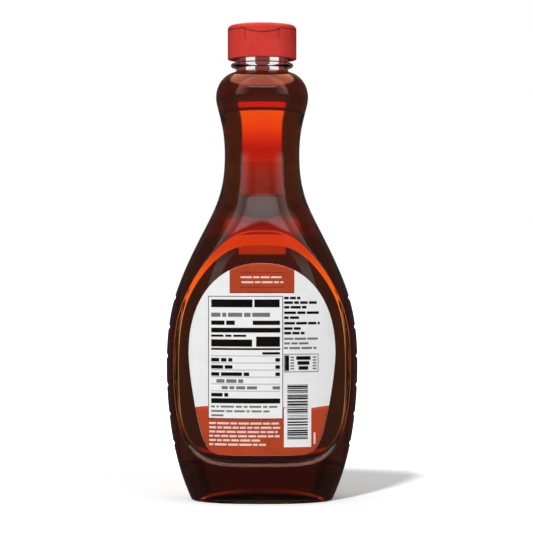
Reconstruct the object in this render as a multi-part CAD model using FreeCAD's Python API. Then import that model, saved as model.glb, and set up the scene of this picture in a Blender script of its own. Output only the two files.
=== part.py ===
"""Syrup bottle: a clear blow-moulded bottle, the syrup in it, its label and its flip-top cap.

Lengths are in millimetres.  The bottle stands on z = 0 with its centre line on the Z axis.
Its two broad faces look along -Y and +Y and its narrow sides along -X and +X.  The label is
on the -Y face, and the hinge of the cap is above it.

The body is one smooth loft, drawn by the stations of its outline.  Each broad face has a
recessed panel under an arched rim, each narrow side a ladder of finger grooves, and the
base a push-up.  The same functions, run with an inset, make the cavity and so the syrup.
"""
import math
import os
from typing import NamedTuple

import FreeCAD
import Part
from FreeCAD import Vector


class Station(NamedTuple):
    """One level of the body: its height, half width, half depth and squareness (2 is an ellipse)."""

    height: float
    half_width: float
    half_depth: float
    squareness: float


class CurvePoint(NamedTuple):
    """A level between two stations, as shares of the way from the lower one to the upper one."""

    height_share: float
    width_share: float
    depth_share: float
    squareness: float


class Level(NamedTuple):
    """A point of the body's outline with the slope of its two half sizes there."""

    station: Station
    width_slope: float
    depth_slope: float


class Outline(NamedTuple):
    """An upright oval on a broad face, drawn as two superellipse halves about its widest level."""

    bottom: float
    middle: float
    top: float
    side_inset: float
    lower_squareness: float
    upper_squareness: float


# Body: its four main levels, and the points that shape the curves between them
BASE = Station(height=0.0, half_width=30.2, half_depth=20.8, squareness=2.40)
BELLY = Station(height=58.8, half_width=41.0, half_depth=24.7, squareness=2.45)
WAIST = Station(height=147.4, half_width=16.06, half_depth=16.06, squareness=2.00)
BULGE = Station(height=172.4, half_width=19.8, half_depth=19.8, squareness=2.00)
HEEL = CurvePoint(0.282, 0.556, 0.564, 2.40)
FLANK = CurvePoint(0.575, 0.861, 0.820, 2.42)
CHEST = CurvePoint(0.300, 0.128, 0.035, 2.50)
SHOULDER = CurvePoint(0.494, 0.393, 0.116, 2.55)
ARCH = CurvePoint(0.634, 0.638, 0.278, 2.35)
NECK_ROOT = CurvePoint(0.786, 0.886, 0.671, 2.00)
COLLAR = CurvePoint(0.444, 0.225, 0.225, 2.00)
CHEEK = CurvePoint(0.788, 0.760, 0.760, 2.00)
BASE_WIDTH_SLOPE = 0.45
BASE_DEPTH_SLOPE = 0.16
BASE_EDGE_RADIUS = 1.4
SECTION_COUNT = 25
SECTION_POINTS = 24

# Dome that closes the bulge up to the neck
DOME_HEIGHT = 10.9
DOME_OVERLAP = 1.0
DOME_RIM = 0.6
DOME_SECTIONS = 7

# Walls of the bottle
BODY_WALL = 0.6
BASE_WALL = 1.0

# Push-up under the base, inside the ring that the bottle stands on
STANDING_RING = 5.0
PUSH_UP_HEIGHT = 6.0

# Recessed panel on each broad face: an arched rim, a bevel, and an upright curved floor
PANEL_BOTTOM = 16.0
PANEL_TOP_SHARE = 0.629
PANEL_SIDE_INSET = 3.3
PANEL_LOWER_SQUARENESS = 5.0
PANEL_UPPER_SQUARENESS = 3.3
PANEL_STEP = 0.5
BEVEL_SIDE = 2.5
BEVEL_TOP = 5.9
BEVEL_BOTTOM = 1.0
BEVEL_OVERRUN = 0.35
RIM_POINTS = 48

# Finger grooves in each narrow side
GROOVE_COUNT = 6
GROOVES_ABOVE_PANEL_BOTTOM = 8.4
GROOVES_BELOW_PANEL_TOP = 28.1
GROOVE_DEPTH = 0.55
GROOVE_RADIUS = 1.2
GROOVE_HALF_LENGTH = 7.5
GROOVE_TOOL_LENGTH = 12.5

# Neck, from its foot upwards: clear stem, support ring, and the plain band inside the cap
NECK_RADIUS = 11.35
NECK_WALL = 1.35
STEM_HEIGHT = 1.6
RING_PROUD = 2.1
RING_HEIGHT = 2.4
BAND_PROUD = 1.35
BAND_HEIGHT = 9.8

# Syrup: how far its level lies under the foot of the neck
FILL_DROP = 0.3

# Cap
CAP_GAP_OVER_RING = 1.3
CAP_SKIRT_BELOW_BAND = 1.0
CAP_WALL = 1.83
CAP_SIDE_CLEARANCE = 0.25
CAP_ROOF = 3.8
CAP_EDGE_RADIUS = 1.8
CAP_HEM_RADIUS = 0.5
LID_HEIGHT = 2.4
LID_SEAM_WIDTH = 0.35
LID_SEAM_DEPTH = 0.55
HINGE_HALF_WIDTH = 7.4
HINGE_DEPTH = 0.7
HINGE_END_DROP = 4.7
HINGE_MIDDLE_TOP_DROP = 1.4
HINGE_MIDDLE_BOTTOM_DROP = 3.1
THUMB_HALF_WIDTH = 5.5
THUMB_DEPTH = 1.1
THUMB_HEIGHT = 3.2

# Label, inside the panel's floor
LABEL_THICKNESS = 0.15
LABEL_RISE = 4.2
LABEL_SIDE_MARGIN = 4.1
LABEL_TOP_MARGIN = 7.4
LABEL_BOTTOM_MARGIN = 3.5
LABEL_TAPER = 0.24
LABEL_TAPER_POWER = 1.5
LABEL_LOWER_SQUARENESS = 10.0
LABEL_UPPER_SQUARENESS = 2.2
LABEL_POINTS = 64

# How far cutting tools run past the body
REACH = 60.0

UP = Vector(0, 0, 1)
QUARTER_ELLIPSE_PULL = 0.5523


def between(lower, upper, point):
    """Return the station that a curve point marks between two others."""
    return Station(
        lower.height + point.height_share * (upper.height - lower.height),
        lower.half_width + point.width_share * (upper.half_width - lower.half_width),
        lower.half_depth + point.depth_share * (upper.half_depth - lower.half_depth),
        point.squareness,
    )


STATIONS = (
    BASE,
    between(BASE, BELLY, HEEL),
    between(BASE, BELLY, FLANK),
    BELLY,
    between(BELLY, WAIST, CHEST),
    between(BELLY, WAIST, SHOULDER),
    between(BELLY, WAIST, ARCH),
    between(BELLY, WAIST, NECK_ROOT),
    WAIST,
    between(WAIST, BULGE, COLLAR),
    between(WAIST, BULGE, CHEEK),
    BULGE,
)

# Heights and radii up the neck, each from the one below
NECK_FOOT = BULGE.height + DOME_HEIGHT
FILL_LEVEL = NECK_FOOT - FILL_DROP
RING_UNDERSIDE = NECK_FOOT + STEM_HEIGHT
RING_TOP = RING_UNDERSIDE + RING_HEIGHT
CAP_UNDERSIDE = RING_TOP + CAP_GAP_OVER_RING
BAND_UNDERSIDE = CAP_UNDERSIDE + CAP_SKIRT_BELOW_BAND
NECK_TOP = BAND_UNDERSIDE + BAND_HEIGHT
CAP_TOP = NECK_TOP + CAP_ROOF
LID_SEAM = CAP_TOP - LID_HEIGHT
HINGE_TOP = LID_SEAM + LID_SEAM_WIDTH / 2
RING_RADIUS = NECK_RADIUS + RING_PROUD
BAND_RADIUS = NECK_RADIUS + BAND_PROUD
SOCKET_RADIUS = BAND_RADIUS + CAP_SIDE_CLEARANCE
CAP_RADIUS = SOCKET_RADIUS + CAP_WALL


def spline_through(values, start_slope, end_slope):
    """Return a curve whose X at parameter h is the value that the stations give at height h."""
    heights = [station.height for station in STATIONS]
    curve = Part.BSplineCurve()
    curve.interpolate(
        Points=[Vector(value, 0, height) for value, height in zip(values, heights)],
        Parameters=heights,
        InitialTangent=Vector(start_slope, 0, 1),
        FinalTangent=Vector(end_slope, 0, 1),
        Scale=False,
    )
    return curve


WIDTH_CURVE = spline_through([s.half_width for s in STATIONS], BASE_WIDTH_SLOPE, 0.0)
DEPTH_CURVE = spline_through([s.half_depth for s in STATIONS], BASE_DEPTH_SLOPE, 0.0)
SQUARENESS_CURVE = spline_through([s.squareness for s in STATIONS], 0.0, 0.0)


def slope_at(curve, height):
    """Return how fast a curve's value grows with height."""
    direction = curve.tangent(height)[0]
    return direction.x / direction.z


def body_level(height):
    """Return the body's level at a height below the bulge."""
    station = Station(
        height,
        WIDTH_CURVE.value(height).x,
        DEPTH_CURVE.value(height).x,
        max(2.0, SQUARENESS_CURVE.value(height).x),
    )
    return Level(station, slope_at(WIDTH_CURVE, height), slope_at(DEPTH_CURVE, height))


RIM = Outline(
    bottom=PANEL_BOTTOM,
    middle=BELLY.height,
    top=BELLY.height + PANEL_TOP_SHARE * (WAIST.height - BELLY.height),
    side_inset=PANEL_SIDE_INSET,
    lower_squareness=PANEL_LOWER_SQUARENESS,
    upper_squareness=PANEL_UPPER_SQUARENESS,
)
FLOOR = RIM._replace(
    bottom=RIM.bottom + BEVEL_BOTTOM,
    top=RIM.top - BEVEL_TOP,
    side_inset=RIM.side_inset + BEVEL_SIDE,
)
FLOOR_HALF_WIDTH = BELLY.half_width
RIM_HALF_DEPTH = min(body_level(height).station.half_depth for height in (RIM.bottom, RIM.top))
FLOOR_HALF_DEPTH = RIM_HALF_DEPTH - PANEL_STEP


def dome_level(angle):
    """Return the round level of the dome at an angle up its quarter ellipse."""
    inner = NECK_RADIUS - DOME_OVERLAP
    spread = BULGE.half_width - inner
    height = BULGE.height + DOME_HEIGHT * math.sin(angle)
    radius = inner + spread * math.cos(angle)
    slope = -spread * math.sin(angle) / (DOME_HEIGHT * math.cos(angle))
    return Level(Station(height, radius, radius, 2.0), slope, slope)


def body_levels(lowest):
    """Return the levels of the body and its dome, from a lowest height to the foot of the neck."""
    step = (BULGE.height - lowest) / (SECTION_COUNT - 1)
    levels = [body_level(lowest + step * index) for index in range(SECTION_COUNT)]
    dome_width = BULGE.half_width - NECK_RADIUS + DOME_OVERLAP
    last_angle = math.acos((DOME_OVERLAP + DOME_RIM) / dome_width)
    for index in range(1, DOME_SECTIONS + 1):
        levels.append(dome_level(last_angle * index / DOME_SECTIONS))
    return levels


def inset_station(level, inset):
    """Return a level's station moved inwards, square to the body's wall."""
    station = level.station
    width_length = math.hypot(1, level.width_slope)
    depth_length = math.hypot(1, level.depth_slope)
    mean_slope = (level.width_slope + level.depth_slope) / 2
    return Station(
        station.height + inset * mean_slope / math.hypot(1, mean_slope),
        station.half_width - inset / width_length,
        station.half_depth - inset / depth_length,
        station.squareness,
    )


def closed_curve(points):
    """Return an edge that runs smoothly through points, evenly paced, and closes."""
    curve = Part.BSplineCurve()
    pace = [index / len(points) for index in range(len(points) + 1)]
    curve.interpolate(Points=points, PeriodicFlag=True, Parameters=pace)
    return curve.toShape()


def superellipse_point(angle, squareness):
    """Return the point of a unit superellipse that lies in a direction."""
    across = math.cos(angle)
    along = math.sin(angle)
    scale = (abs(across) ** squareness + abs(along) ** squareness) ** (-1 / squareness)
    return scale * across, scale * along


def section_wire(station):
    """Return the closed cross-section of a station."""
    points = []
    for index in range(SECTION_POINTS):
        across, along = superellipse_point(2 * math.pi * index / SECTION_POINTS, station.squareness)
        points.append(Vector(station.half_width * across, station.half_depth * along, station.height))
    return Part.Wire([closed_curve(points)])


def surface_depth(x, height, inset):
    """Return how far the body's inset surface stands from the XZ plane at a place on a broad face."""
    station = inset_station(body_level(height), inset)
    share = min(1.0, abs(x) / station.half_width)
    return station.half_depth * (1 - share ** station.squareness) ** (1 / station.squareness)


def floor_depth(x, inset):
    """Return how far the panel's floor stands from the XZ plane."""
    share = min(1.0, abs(x) / (FLOOR_HALF_WIDTH - inset))
    return (FLOOR_HALF_DEPTH - inset) * math.sqrt(1 - share ** 2)


def outline_point(outline, angle):
    """Return x and height on an outline that keeps its inset from the body's silhouette."""
    upper = math.sin(angle) >= 0
    squareness = outline.upper_squareness if upper else outline.lower_squareness
    across, along = superellipse_point(angle, squareness)
    height = outline.middle + abs(along) * ((outline.top if upper else outline.bottom) - outline.middle)
    return across * (body_level(height).station.half_width - outline.side_inset), height


def elliptic_cylinder(half_width, half_depth, height):
    """Return an upright solid with an elliptic section, standing on the base plane."""
    edge = Part.Ellipse(Vector(), half_width, half_depth).toShape()
    return Part.Face(Part.Wire([edge])).extrude(Vector(0, 0, height))


def panel_tool(inset):
    """Return the solid that sinks the -Y panel into the body's inset surface.

    Its bevelled wall is ruled from the rim, on the body's surface, to the floor's oval, and
    overruns both.  The floor is an upright elliptic cylinder, on which a label lies flat.
    """
    outer_points = []
    inner_points = []
    for index in range(RIM_POINTS):
        angle = 2 * math.pi * index / RIM_POINTS
        rim_x, rim_height = outline_point(RIM, angle)
        floor_x, floor_height = outline_point(FLOOR, angle)
        rim_point = Vector(rim_x, -surface_depth(rim_x, rim_height, inset), rim_height)
        floor_point = Vector(floor_x, -floor_depth(floor_x, inset), floor_height)
        overrun = (rim_point - floor_point) * BEVEL_OVERRUN
        outer_points.append(rim_point + overrun)
        inner_points.append(floor_point - overrun)
    front = [Vector(p.x, -REACH, p.z) for p in outer_points]
    back = [Vector(p.x, 0, p.z) for p in inner_points]
    edges = [closed_curve(points) for points in (front, outer_points, inner_points, back)]
    faces = [Part.makeRuledSurface(near, far) for near, far in zip(edges, edges[1:])]
    faces.append(Part.Face(Part.Wire([edges[0]])))
    faces.append(Part.Face(Part.Wire([edges[-1]])))
    tool = Part.makeSolid(Part.makeShell(faces))
    tool.fix(1e-5, 1e-5, 1e-3)
    core = elliptic_cylinder(FLOOR_HALF_WIDTH - inset, FLOOR_HALF_DEPTH - inset, RIM.top + REACH)
    return tool.cut(core)


def section_width(station, y):
    """Return a section's half width at a distance y from the XZ plane."""
    share = min(1.0, abs(y) / station.half_depth)
    return station.half_width * (1 - share ** station.squareness) ** (1 / station.squareness)


def groove_tool(height, inset):
    """Return the piece of a ring that presses one finger groove into the +X side.

    The ring is flatter than the side is round, so the groove runs out at both its ends.
    """
    station = body_level(height).station
    fall = station.half_width - section_width(station, GROOVE_HALF_LENGTH)
    ring_radius = GROOVE_HALF_LENGTH ** 2 / (2 * (fall - GROOVE_DEPTH))
    ring_centre = station.half_width - GROOVE_DEPTH + GROOVE_RADIUS - ring_radius
    half_sweep = math.degrees(math.asin(min(1.0, GROOVE_TOOL_LENGTH / ring_radius)))
    ring = Part.makeTorus(ring_radius, GROOVE_RADIUS + inset, Vector(), UP, 0, 360, 2 * half_sweep)
    ring.rotate(Vector(), UP, -half_sweep)
    ring.translate(Vector(ring_centre, 0, height))
    return ring


def push_up_tool(inset):
    """Return the flattened dome that hollows the underside of the base."""
    half_width = BASE.half_width - STANDING_RING
    half_depth = BASE.half_depth - STANDING_RING
    stretch = FreeCAD.Matrix()
    stretch.scale(Vector(half_width + inset, half_depth + inset, PUSH_UP_HEIGHT + inset))
    return Part.makeSphere(1.0).transformGeometry(stretch)


def both_sides(tool):
    """Return a tool and its copy turned half round the bottle's centre line."""
    other = tool.copy()
    other.rotate(Vector(), UP, 180)
    return [tool, other]


def body_form(inset):
    """Return the body up to the foot of the neck, moved inwards by an inset."""
    lowest = BASE_WALL if inset else BASE.height
    sections = [section_wire(inset_station(level, inset)) for level in body_levels(lowest)]
    form = Part.makeLoft(sections, True, False, False, 5)
    if not inset:
        base_edges = [edge for edge in form.Edges if edge.BoundBox.ZMax < BASE_EDGE_RADIUS]
        form = form.makeFillet(BASE_EDGE_RADIUS, base_edges)
    tools = both_sides(panel_tool(inset))
    lowest_groove = RIM.bottom + GROOVES_ABOVE_PANEL_BOTTOM
    pitch = (RIM.top - GROOVES_BELOW_PANEL_TOP - lowest_groove) / (GROOVE_COUNT - 1)
    for index in range(GROOVE_COUNT):
        tools += both_sides(groove_tool(lowest_groove + pitch * index, inset))
    tools.append(push_up_tool(inset))
    return form.cut(tools)


def revolved(outline):
    """Return the solid that a closed outline of (radius, height) points and edges turns out."""
    return Part.Face(Part.Wire(outline)).revolve(Vector(), UP, 360)


def line(start, end):
    """Return a straight edge between two (radius, height) points."""
    return Part.LineSegment(Vector(start[0], 0, start[1]), Vector(end[0], 0, end[1])).toShape()


def quarter(start, corner, end):
    """Return a quarter ellipse from start to end that bulges towards a corner."""
    poles = [Vector(p[0], 0, p[1]) for p in (start, corner, end)]
    curve = Part.BezierCurve()
    curve.setPoles([
        poles[0],
        poles[0] + (poles[1] - poles[0]) * QUARTER_ELLIPSE_PULL,
        poles[2] + (poles[1] - poles[2]) * QUARTER_ELLIPSE_PULL,
        poles[2],
    ])
    return curve.toShape()


def neck_form():
    """Return the solid neck: the stem, its support ring and the band inside the cap."""
    ring_middle = (RING_UNDERSIDE + RING_TOP) / 2
    return revolved([
        line((0, BULGE.height), (NECK_RADIUS, BULGE.height)),
        line((NECK_RADIUS, BULGE.height), (NECK_RADIUS, RING_UNDERSIDE)),
        quarter((NECK_RADIUS, RING_UNDERSIDE), (RING_RADIUS, RING_UNDERSIDE), (RING_RADIUS, ring_middle)),
        quarter((RING_RADIUS, ring_middle), (RING_RADIUS, RING_TOP), (NECK_RADIUS, RING_TOP)),
        line((NECK_RADIUS, RING_TOP), (NECK_RADIUS, BAND_UNDERSIDE)),
        line((NECK_RADIUS, BAND_UNDERSIDE), (BAND_RADIUS, BAND_UNDERSIDE)),
        line((BAND_RADIUS, BAND_UNDERSIDE), (BAND_RADIUS, NECK_TOP)),
        line((BAND_RADIUS, NECK_TOP), (0, NECK_TOP)),
        line((0, NECK_TOP), (0, BULGE.height)),
    ])


def make_cavity():
    """Return the space inside the bottle, up through its mouth."""
    bore = Part.makeCylinder(NECK_RADIUS - NECK_WALL, REACH, Vector(0, 0, BULGE.height))
    return body_form(BODY_WALL).fuse(bore)


def make_bottle(cavity):
    """Return the clear bottle around its cavity."""
    return body_form(0).fuse(neck_form()).cut(cavity)


def make_syrup(cavity):
    """Return the syrup, which fills the cavity up to the fill level."""
    above = Part.makeBox(2 * REACH, 2 * REACH, 2 * REACH, Vector(-REACH, -REACH, FILL_LEVEL))
    return cavity.cut(above)


def hinge_tool():
    """Return the bow-tie recess of the living hinge, on the -Y side, between the seam's two ends."""
    ends = (-HINGE_HALF_WIDTH, HINGE_HALF_WIDTH)
    low = LID_SEAM - HINGE_END_DROP
    upper = Part.Arc(
        Vector(ends[0], 0, HINGE_TOP),
        Vector(0, 0, LID_SEAM - HINGE_MIDDLE_TOP_DROP),
        Vector(ends[1], 0, HINGE_TOP),
    ).toShape()
    lower = Part.Arc(
        Vector(ends[1], 0, low),
        Vector(0, 0, LID_SEAM - HINGE_MIDDLE_BOTTOM_DROP),
        Vector(ends[0], 0, low),
    ).toShape()
    sides = [line((x, HINGE_TOP), (x, low)) for x in ends]
    face = Part.Face(Part.Wire([upper, sides[1], lower, sides[0]]))
    core = Part.makeCylinder(CAP_RADIUS - HINGE_DEPTH, CAP_TOP + REACH)
    return face.extrude(Vector(0, -REACH, 0)).cut(core)


def seam_tool():
    """Return the ring that parts the lid from the cap, broken at the hinge."""
    outer = Part.makeCylinder(CAP_RADIUS + REACH, LID_SEAM_WIDTH, Vector(0, 0, LID_SEAM))
    inner = Part.makeCylinder(CAP_RADIUS - LID_SEAM_DEPTH, LID_SEAM_WIDTH, Vector(0, 0, LID_SEAM))
    hinge = Part.makeBox(2 * HINGE_HALF_WIDTH, REACH, CAP_TOP, Vector(-HINGE_HALF_WIDTH, -REACH, 0))
    return outer.cut([inner, hinge])


def thumb_tool():
    """Return the scoop under the lid's front edge, on the +Y side, where a thumb lifts it."""
    radius = (THUMB_HALF_WIDTH ** 2 + THUMB_DEPTH ** 2) / (2 * THUMB_DEPTH)
    centre = CAP_RADIUS - THUMB_DEPTH + radius
    return Part.makeCylinder(radius, THUMB_HEIGHT, Vector(0, centre, LID_SEAM - THUMB_HEIGHT))


def make_cap():
    """Return the flip-top cap: skirt and lid in one piece, hollow where the neck stands in it."""
    hem = CAP_UNDERSIDE + CAP_HEM_RADIUS
    shoulder = CAP_TOP - CAP_EDGE_RADIUS
    shell = revolved([
        line((0, CAP_UNDERSIDE), (CAP_RADIUS - CAP_HEM_RADIUS, CAP_UNDERSIDE)),
        quarter((CAP_RADIUS - CAP_HEM_RADIUS, CAP_UNDERSIDE), (CAP_RADIUS, CAP_UNDERSIDE), (CAP_RADIUS, hem)),
        line((CAP_RADIUS, hem), (CAP_RADIUS, shoulder)),
        quarter((CAP_RADIUS, shoulder), (CAP_RADIUS, CAP_TOP), (CAP_RADIUS - CAP_EDGE_RADIUS, CAP_TOP)),
        line((CAP_RADIUS - CAP_EDGE_RADIUS, CAP_TOP), (0, CAP_TOP)),
        line((0, CAP_TOP), (0, CAP_UNDERSIDE)),
    ])
    socket = Part.makeCylinder(SOCKET_RADIUS, NECK_TOP)
    return shell.cut([socket, hinge_tool(), seam_tool(), thumb_tool()])


def label_wire():
    """Return the label's outline in the XZ plane: an arch above, a tapered foot below."""
    middle = FLOOR.middle + LABEL_RISE
    top = FLOOR.top - LABEL_TOP_MARGIN
    bottom = FLOOR.bottom + LABEL_BOTTOM_MARGIN
    widest = body_level(middle).station.half_width - FLOOR.side_inset - LABEL_SIDE_MARGIN
    points = []
    for index in range(LABEL_POINTS):
        angle = 2 * math.pi * index / LABEL_POINTS
        upper = math.sin(angle) >= 0
        squareness = LABEL_UPPER_SQUARENESS if upper else LABEL_LOWER_SQUARENESS
        across, along = superellipse_point(angle, squareness)
        taper = 0 if upper else LABEL_TAPER * abs(along) ** LABEL_TAPER_POWER
        height = middle + abs(along) * ((top if upper else bottom) - middle)
        points.append(Vector(across * widest * (1 - taper), 0, height))
    return Part.Wire([closed_curve(points)])


def make_label():
    """Return the label, a thin sheet on the floor of the -Y panel."""
    sheet = elliptic_cylinder(FLOOR_HALF_WIDTH + LABEL_THICKNESS, FLOOR_HALF_DEPTH + LABEL_THICKNESS, RIM.top)
    core = elliptic_cylinder(FLOOR_HALF_WIDTH, FLOOR_HALF_DEPTH, RIM.top)
    blank = Part.Face(label_wire()).extrude(Vector(0, -REACH, 0))
    return blank.common(sheet.cut(core))


def export(name, shape):
    """Write one piece to its STEP file and report its volume."""
    solids = shape.Solids
    if len(solids) != 1 or not solids[0].isValid():
        raise ValueError(f"{name}: {len(solids)} solids, valid {[s.isValid() for s in solids]}")
    solids[0].exportStep(f"parts/{name}.step")
    print(f"{name}: {solids[0].Volume / 1000:.2f} cm3")


def main():
    """Build every piece and write it."""
    os.makedirs("parts", exist_ok=True)
    cavity = make_cavity()
    export("bottle", make_bottle(cavity))
    export("syrup", make_syrup(cavity))
    export("cap", make_cap())
    export("label", make_label())


main()
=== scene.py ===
"""Looks of the syrup bottle: clear moulded plastic, dark syrup, a printed label and a red cap.

Sizes in the classes are in millimetres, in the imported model's own frame: the bottle stands on
z = 0 with its centre line on the Z axis, and its label looks along -Y.  Meshes are in metres.
"""
from __future__ import annotations

import logging
import math
from dataclasses import dataclass, replace
from enum import Enum
from typing import Sequence

import bmesh
import bpy
import numpy as np
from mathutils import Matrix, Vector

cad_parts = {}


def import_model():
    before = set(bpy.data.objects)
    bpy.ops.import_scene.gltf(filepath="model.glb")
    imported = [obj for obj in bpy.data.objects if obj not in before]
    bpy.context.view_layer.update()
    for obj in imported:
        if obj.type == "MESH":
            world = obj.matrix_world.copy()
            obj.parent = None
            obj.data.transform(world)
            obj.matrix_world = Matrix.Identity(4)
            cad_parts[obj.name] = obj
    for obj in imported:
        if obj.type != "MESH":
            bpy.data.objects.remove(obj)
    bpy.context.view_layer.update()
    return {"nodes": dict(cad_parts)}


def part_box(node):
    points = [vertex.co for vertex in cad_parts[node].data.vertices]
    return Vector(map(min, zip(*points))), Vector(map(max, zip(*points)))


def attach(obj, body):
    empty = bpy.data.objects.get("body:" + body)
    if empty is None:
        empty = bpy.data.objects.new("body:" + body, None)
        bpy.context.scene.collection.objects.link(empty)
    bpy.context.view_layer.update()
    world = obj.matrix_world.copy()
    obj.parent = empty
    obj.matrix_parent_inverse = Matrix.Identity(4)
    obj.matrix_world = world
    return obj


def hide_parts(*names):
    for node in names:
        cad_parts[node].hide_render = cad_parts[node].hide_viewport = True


LOG = logging.getLogger("syrup_bottle")
MM = 0.001
BODY = "root"
SKIN_INSET = "skin_inset"
BAR_SIZE = "bar_size"
MERGE_DISTANCE = 2e-6
SLIVER = 1e-7
LONGEST_ROUNDING = 0.45
NOISE_SPAN = (0.3, 0.7)

Colour = tuple[float, float, float]
Place = tuple[float, float, float]
Span = tuple[float, float]
Stops = tuple[tuple[float, Colour], ...]
Profile = list[tuple[float, float]]
Points = np.ndarray


# ---------------------------------------------------------------- node fields

class NodeField:
    """A number inside a node tree that ordinary arithmetic works on."""

    def __init__(self, tree: bpy.types.NodeTree, socket: bpy.types.NodeSocket) -> None:
        """Keep the tree and the output socket that carries the number."""
        self.tree = tree
        self.socket = socket

    def math(self, operation: str, *others: "NodeField | float") -> "NodeField":
        """Return the result of a Math node.

        Args:
            operation: The Math node's operation.
            others: Its second and third operand, as fields or numbers.

        Returns:
            The field that holds the node's result.
        """
        node = self.tree.nodes.new("ShaderNodeMath")
        node.operation = operation
        self.tree.links.new(self.socket, node.inputs[0])
        for slot, other in zip((1, 2), others):
            if isinstance(other, NodeField):
                self.tree.links.new(other.socket, node.inputs[slot])
            else:
                node.inputs[slot].default_value = other
        return NodeField(self.tree, node.outputs[0])

    def __add__(self, other: "NodeField | float") -> "NodeField":
        """Return the sum."""
        return self.math("ADD", other)

    def __sub__(self, other: "NodeField | float") -> "NodeField":
        """Return the difference."""
        return self.math("SUBTRACT", other)

    def __mul__(self, other: "NodeField | float") -> "NodeField":
        """Return the product."""
        return self.math("MULTIPLY", other)

    def __truediv__(self, other: "NodeField | float") -> "NodeField":
        """Return the quotient."""
        return self.math("DIVIDE", other)

    def step(self, start: float, end: float) -> "NodeField":
        """Return a smooth step from 0 at start to 1 at end."""
        node = self.tree.nodes.new("ShaderNodeMapRange")
        node.interpolation_type = "SMOOTHSTEP"
        node.inputs["From Min"].default_value = start
        node.inputs["From Max"].default_value = end
        self.tree.links.new(self.socket, node.inputs["Value"])
        return NodeField(self.tree, node.outputs["Result"])


def split(tree: bpy.types.NodeTree, vector: bpy.types.NodeSocket) -> tuple[NodeField, ...]:
    """Return the three coordinates of a vector as fields."""
    parts = tree.nodes.new("ShaderNodeSeparateXYZ")
    tree.links.new(vector, parts.inputs[0])
    return tuple(NodeField(tree, output) for output in parts.outputs)


def shaded_point(tree: bpy.types.NodeTree, kind: str = "Object") -> tuple[NodeField, ...]:
    """Return the coordinates of the point that is shaded, as fields."""
    return split(tree, tree.nodes.new("ShaderNodeTexCoord").outputs[kind])


def join(tree: bpy.types.NodeTree, fields: Sequence[NodeField | None]) -> bpy.types.NodeSocket:
    """Return a vector made of three fields, where None stands for 0."""
    node = tree.nodes.new("ShaderNodeCombineXYZ")
    for field, slot in zip(fields, node.inputs):
        if field:
            tree.links.new(field.socket, slot)
    return node.outputs[0]


# ---------------------------------------------------------------- meshes

class MeshDraft:
    """Rings of points, in millimetres, that are stitched into one smooth mesh."""

    def __init__(self) -> None:
        """Start empty."""
        self.points: list[Points] = []
        self.faces: list[Points] = []
        self.count = 0
        self.inset = 0.0
        self.insets: list[Points] = []

    def add(self, ring: Points) -> Points:
        """Add a ring of points and return their numbers."""
        first = self.count
        self.points.append(np.asarray(ring, float))
        self.insets.append(np.full(len(ring), self.inset * MM))
        self.count += len(ring)
        return np.arange(first, self.count)

    def stitch(self, rings: Sequence[Points]) -> None:
        """Join each closed ring to the next one by quads."""
        numbered = [self.add(ring) for ring in rings]
        for near, far in zip(numbered, numbered[1:]):
            self.faces.append(np.stack([near, np.roll(near, -1), np.roll(far, -1), far], 1))

    def grid(self, rows: Points, flip: bool = False) -> None:
        """Join a block of rows by quads.

        Args:
            rows: Points as an array of rows, columns and coordinates.
            flip: Whether the faces look the other way.
        """
        high, wide, _ = rows.shape
        numbers = self.add(rows.reshape(-1, 3)).reshape(high, wide)
        quads = [numbers[:-1, :-1], numbers[:-1, 1:], numbers[1:, 1:], numbers[1:, :-1]]
        if flip:
            quads.reverse()
        self.faces.append(np.stack(quads, 2).reshape(-1, 4))

    def close(self, ring: Points) -> None:
        """Fill a ring with a fan round its middle."""
        numbers = self.add(ring)
        middle = self.add(ring.mean(0)[None])[0]
        centre = np.full(len(numbers), middle)
        self.faces.append(np.stack([numbers, np.roll(numbers, -1), centre], 1))

    def build(self, name: str) -> bpy.types.Object:
        """Return the mesh as a smooth object, with doubles merged and faces looking outwards."""
        mesh = bpy.data.meshes.new(name)
        faces = [row.tolist() for block in self.faces for row in block]
        mesh.from_pydata((np.vstack(self.points) * MM).tolist(), [], faces)
        inset = mesh.attributes.new(SKIN_INSET, "FLOAT", "POINT")
        inset.data.foreach_set("value", np.concatenate(self.insets))
        draft = bmesh.new()
        draft.from_mesh(mesh)
        bmesh.ops.remove_doubles(draft, verts=draft.verts, dist=MERGE_DISTANCE)
        bmesh.ops.dissolve_degenerate(draft, edges=draft.edges, dist=SLIVER)
        bmesh.ops.recalc_face_normals(draft, faces=draft.faces)
        draft.to_mesh(mesh)
        draft.free()
        mesh.shade_smooth()
        return link(name, mesh)


def link(name: str, data: bpy.types.ID) -> bpy.types.Object:
    """Return a new object of the scene that holds a mesh, a lamp or a camera."""
    piece = bpy.data.objects.new(name, data)
    bpy.context.scene.collection.objects.link(piece)
    return piece


def bezier(start: Points, corner: Points, end: Points, count: int) -> list[Points]:
    """Return rings that round a corner between two rings.

    Args:
        start: The ring where the rounding starts.
        corner: The sharp corner.
        end: The ring where it ends.
        count: How many steps it takes.

    Returns:
        The rings from start to end, both included.
    """
    steps = np.linspace(0, 1, count + 1)
    return [(1 - s) ** 2 * start + 2 * s * (1 - s) * corner + s ** 2 * end for s in steps]


def rounded_profile(corners: Profile, radius: float, count: int) -> Profile:
    """Return a profile with every inner corner rounded.

    Args:
        corners: Its points, as radius and height.
        radius: How far from a corner the rounding starts.
        count: How many steps each rounding takes.

    Returns:
        The points of the rounded profile.
    """
    points = [np.array(corner, float) for corner in corners]
    profile = [points[0]]
    for before, corner, after in zip(points, points[1:], points[2:]):
        ends = []
        for other in (before, after):
            length = np.linalg.norm(other - corner)
            ends.append(corner + (other - corner) / length * min(radius, LONGEST_ROUNDING * length))
        profile += bezier(ends[0], corner, ends[1], count)
    profile.append(points[-1])
    return [tuple(point) for point in profile]


# ---------------------------------------------------------------- shape of the body

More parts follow.
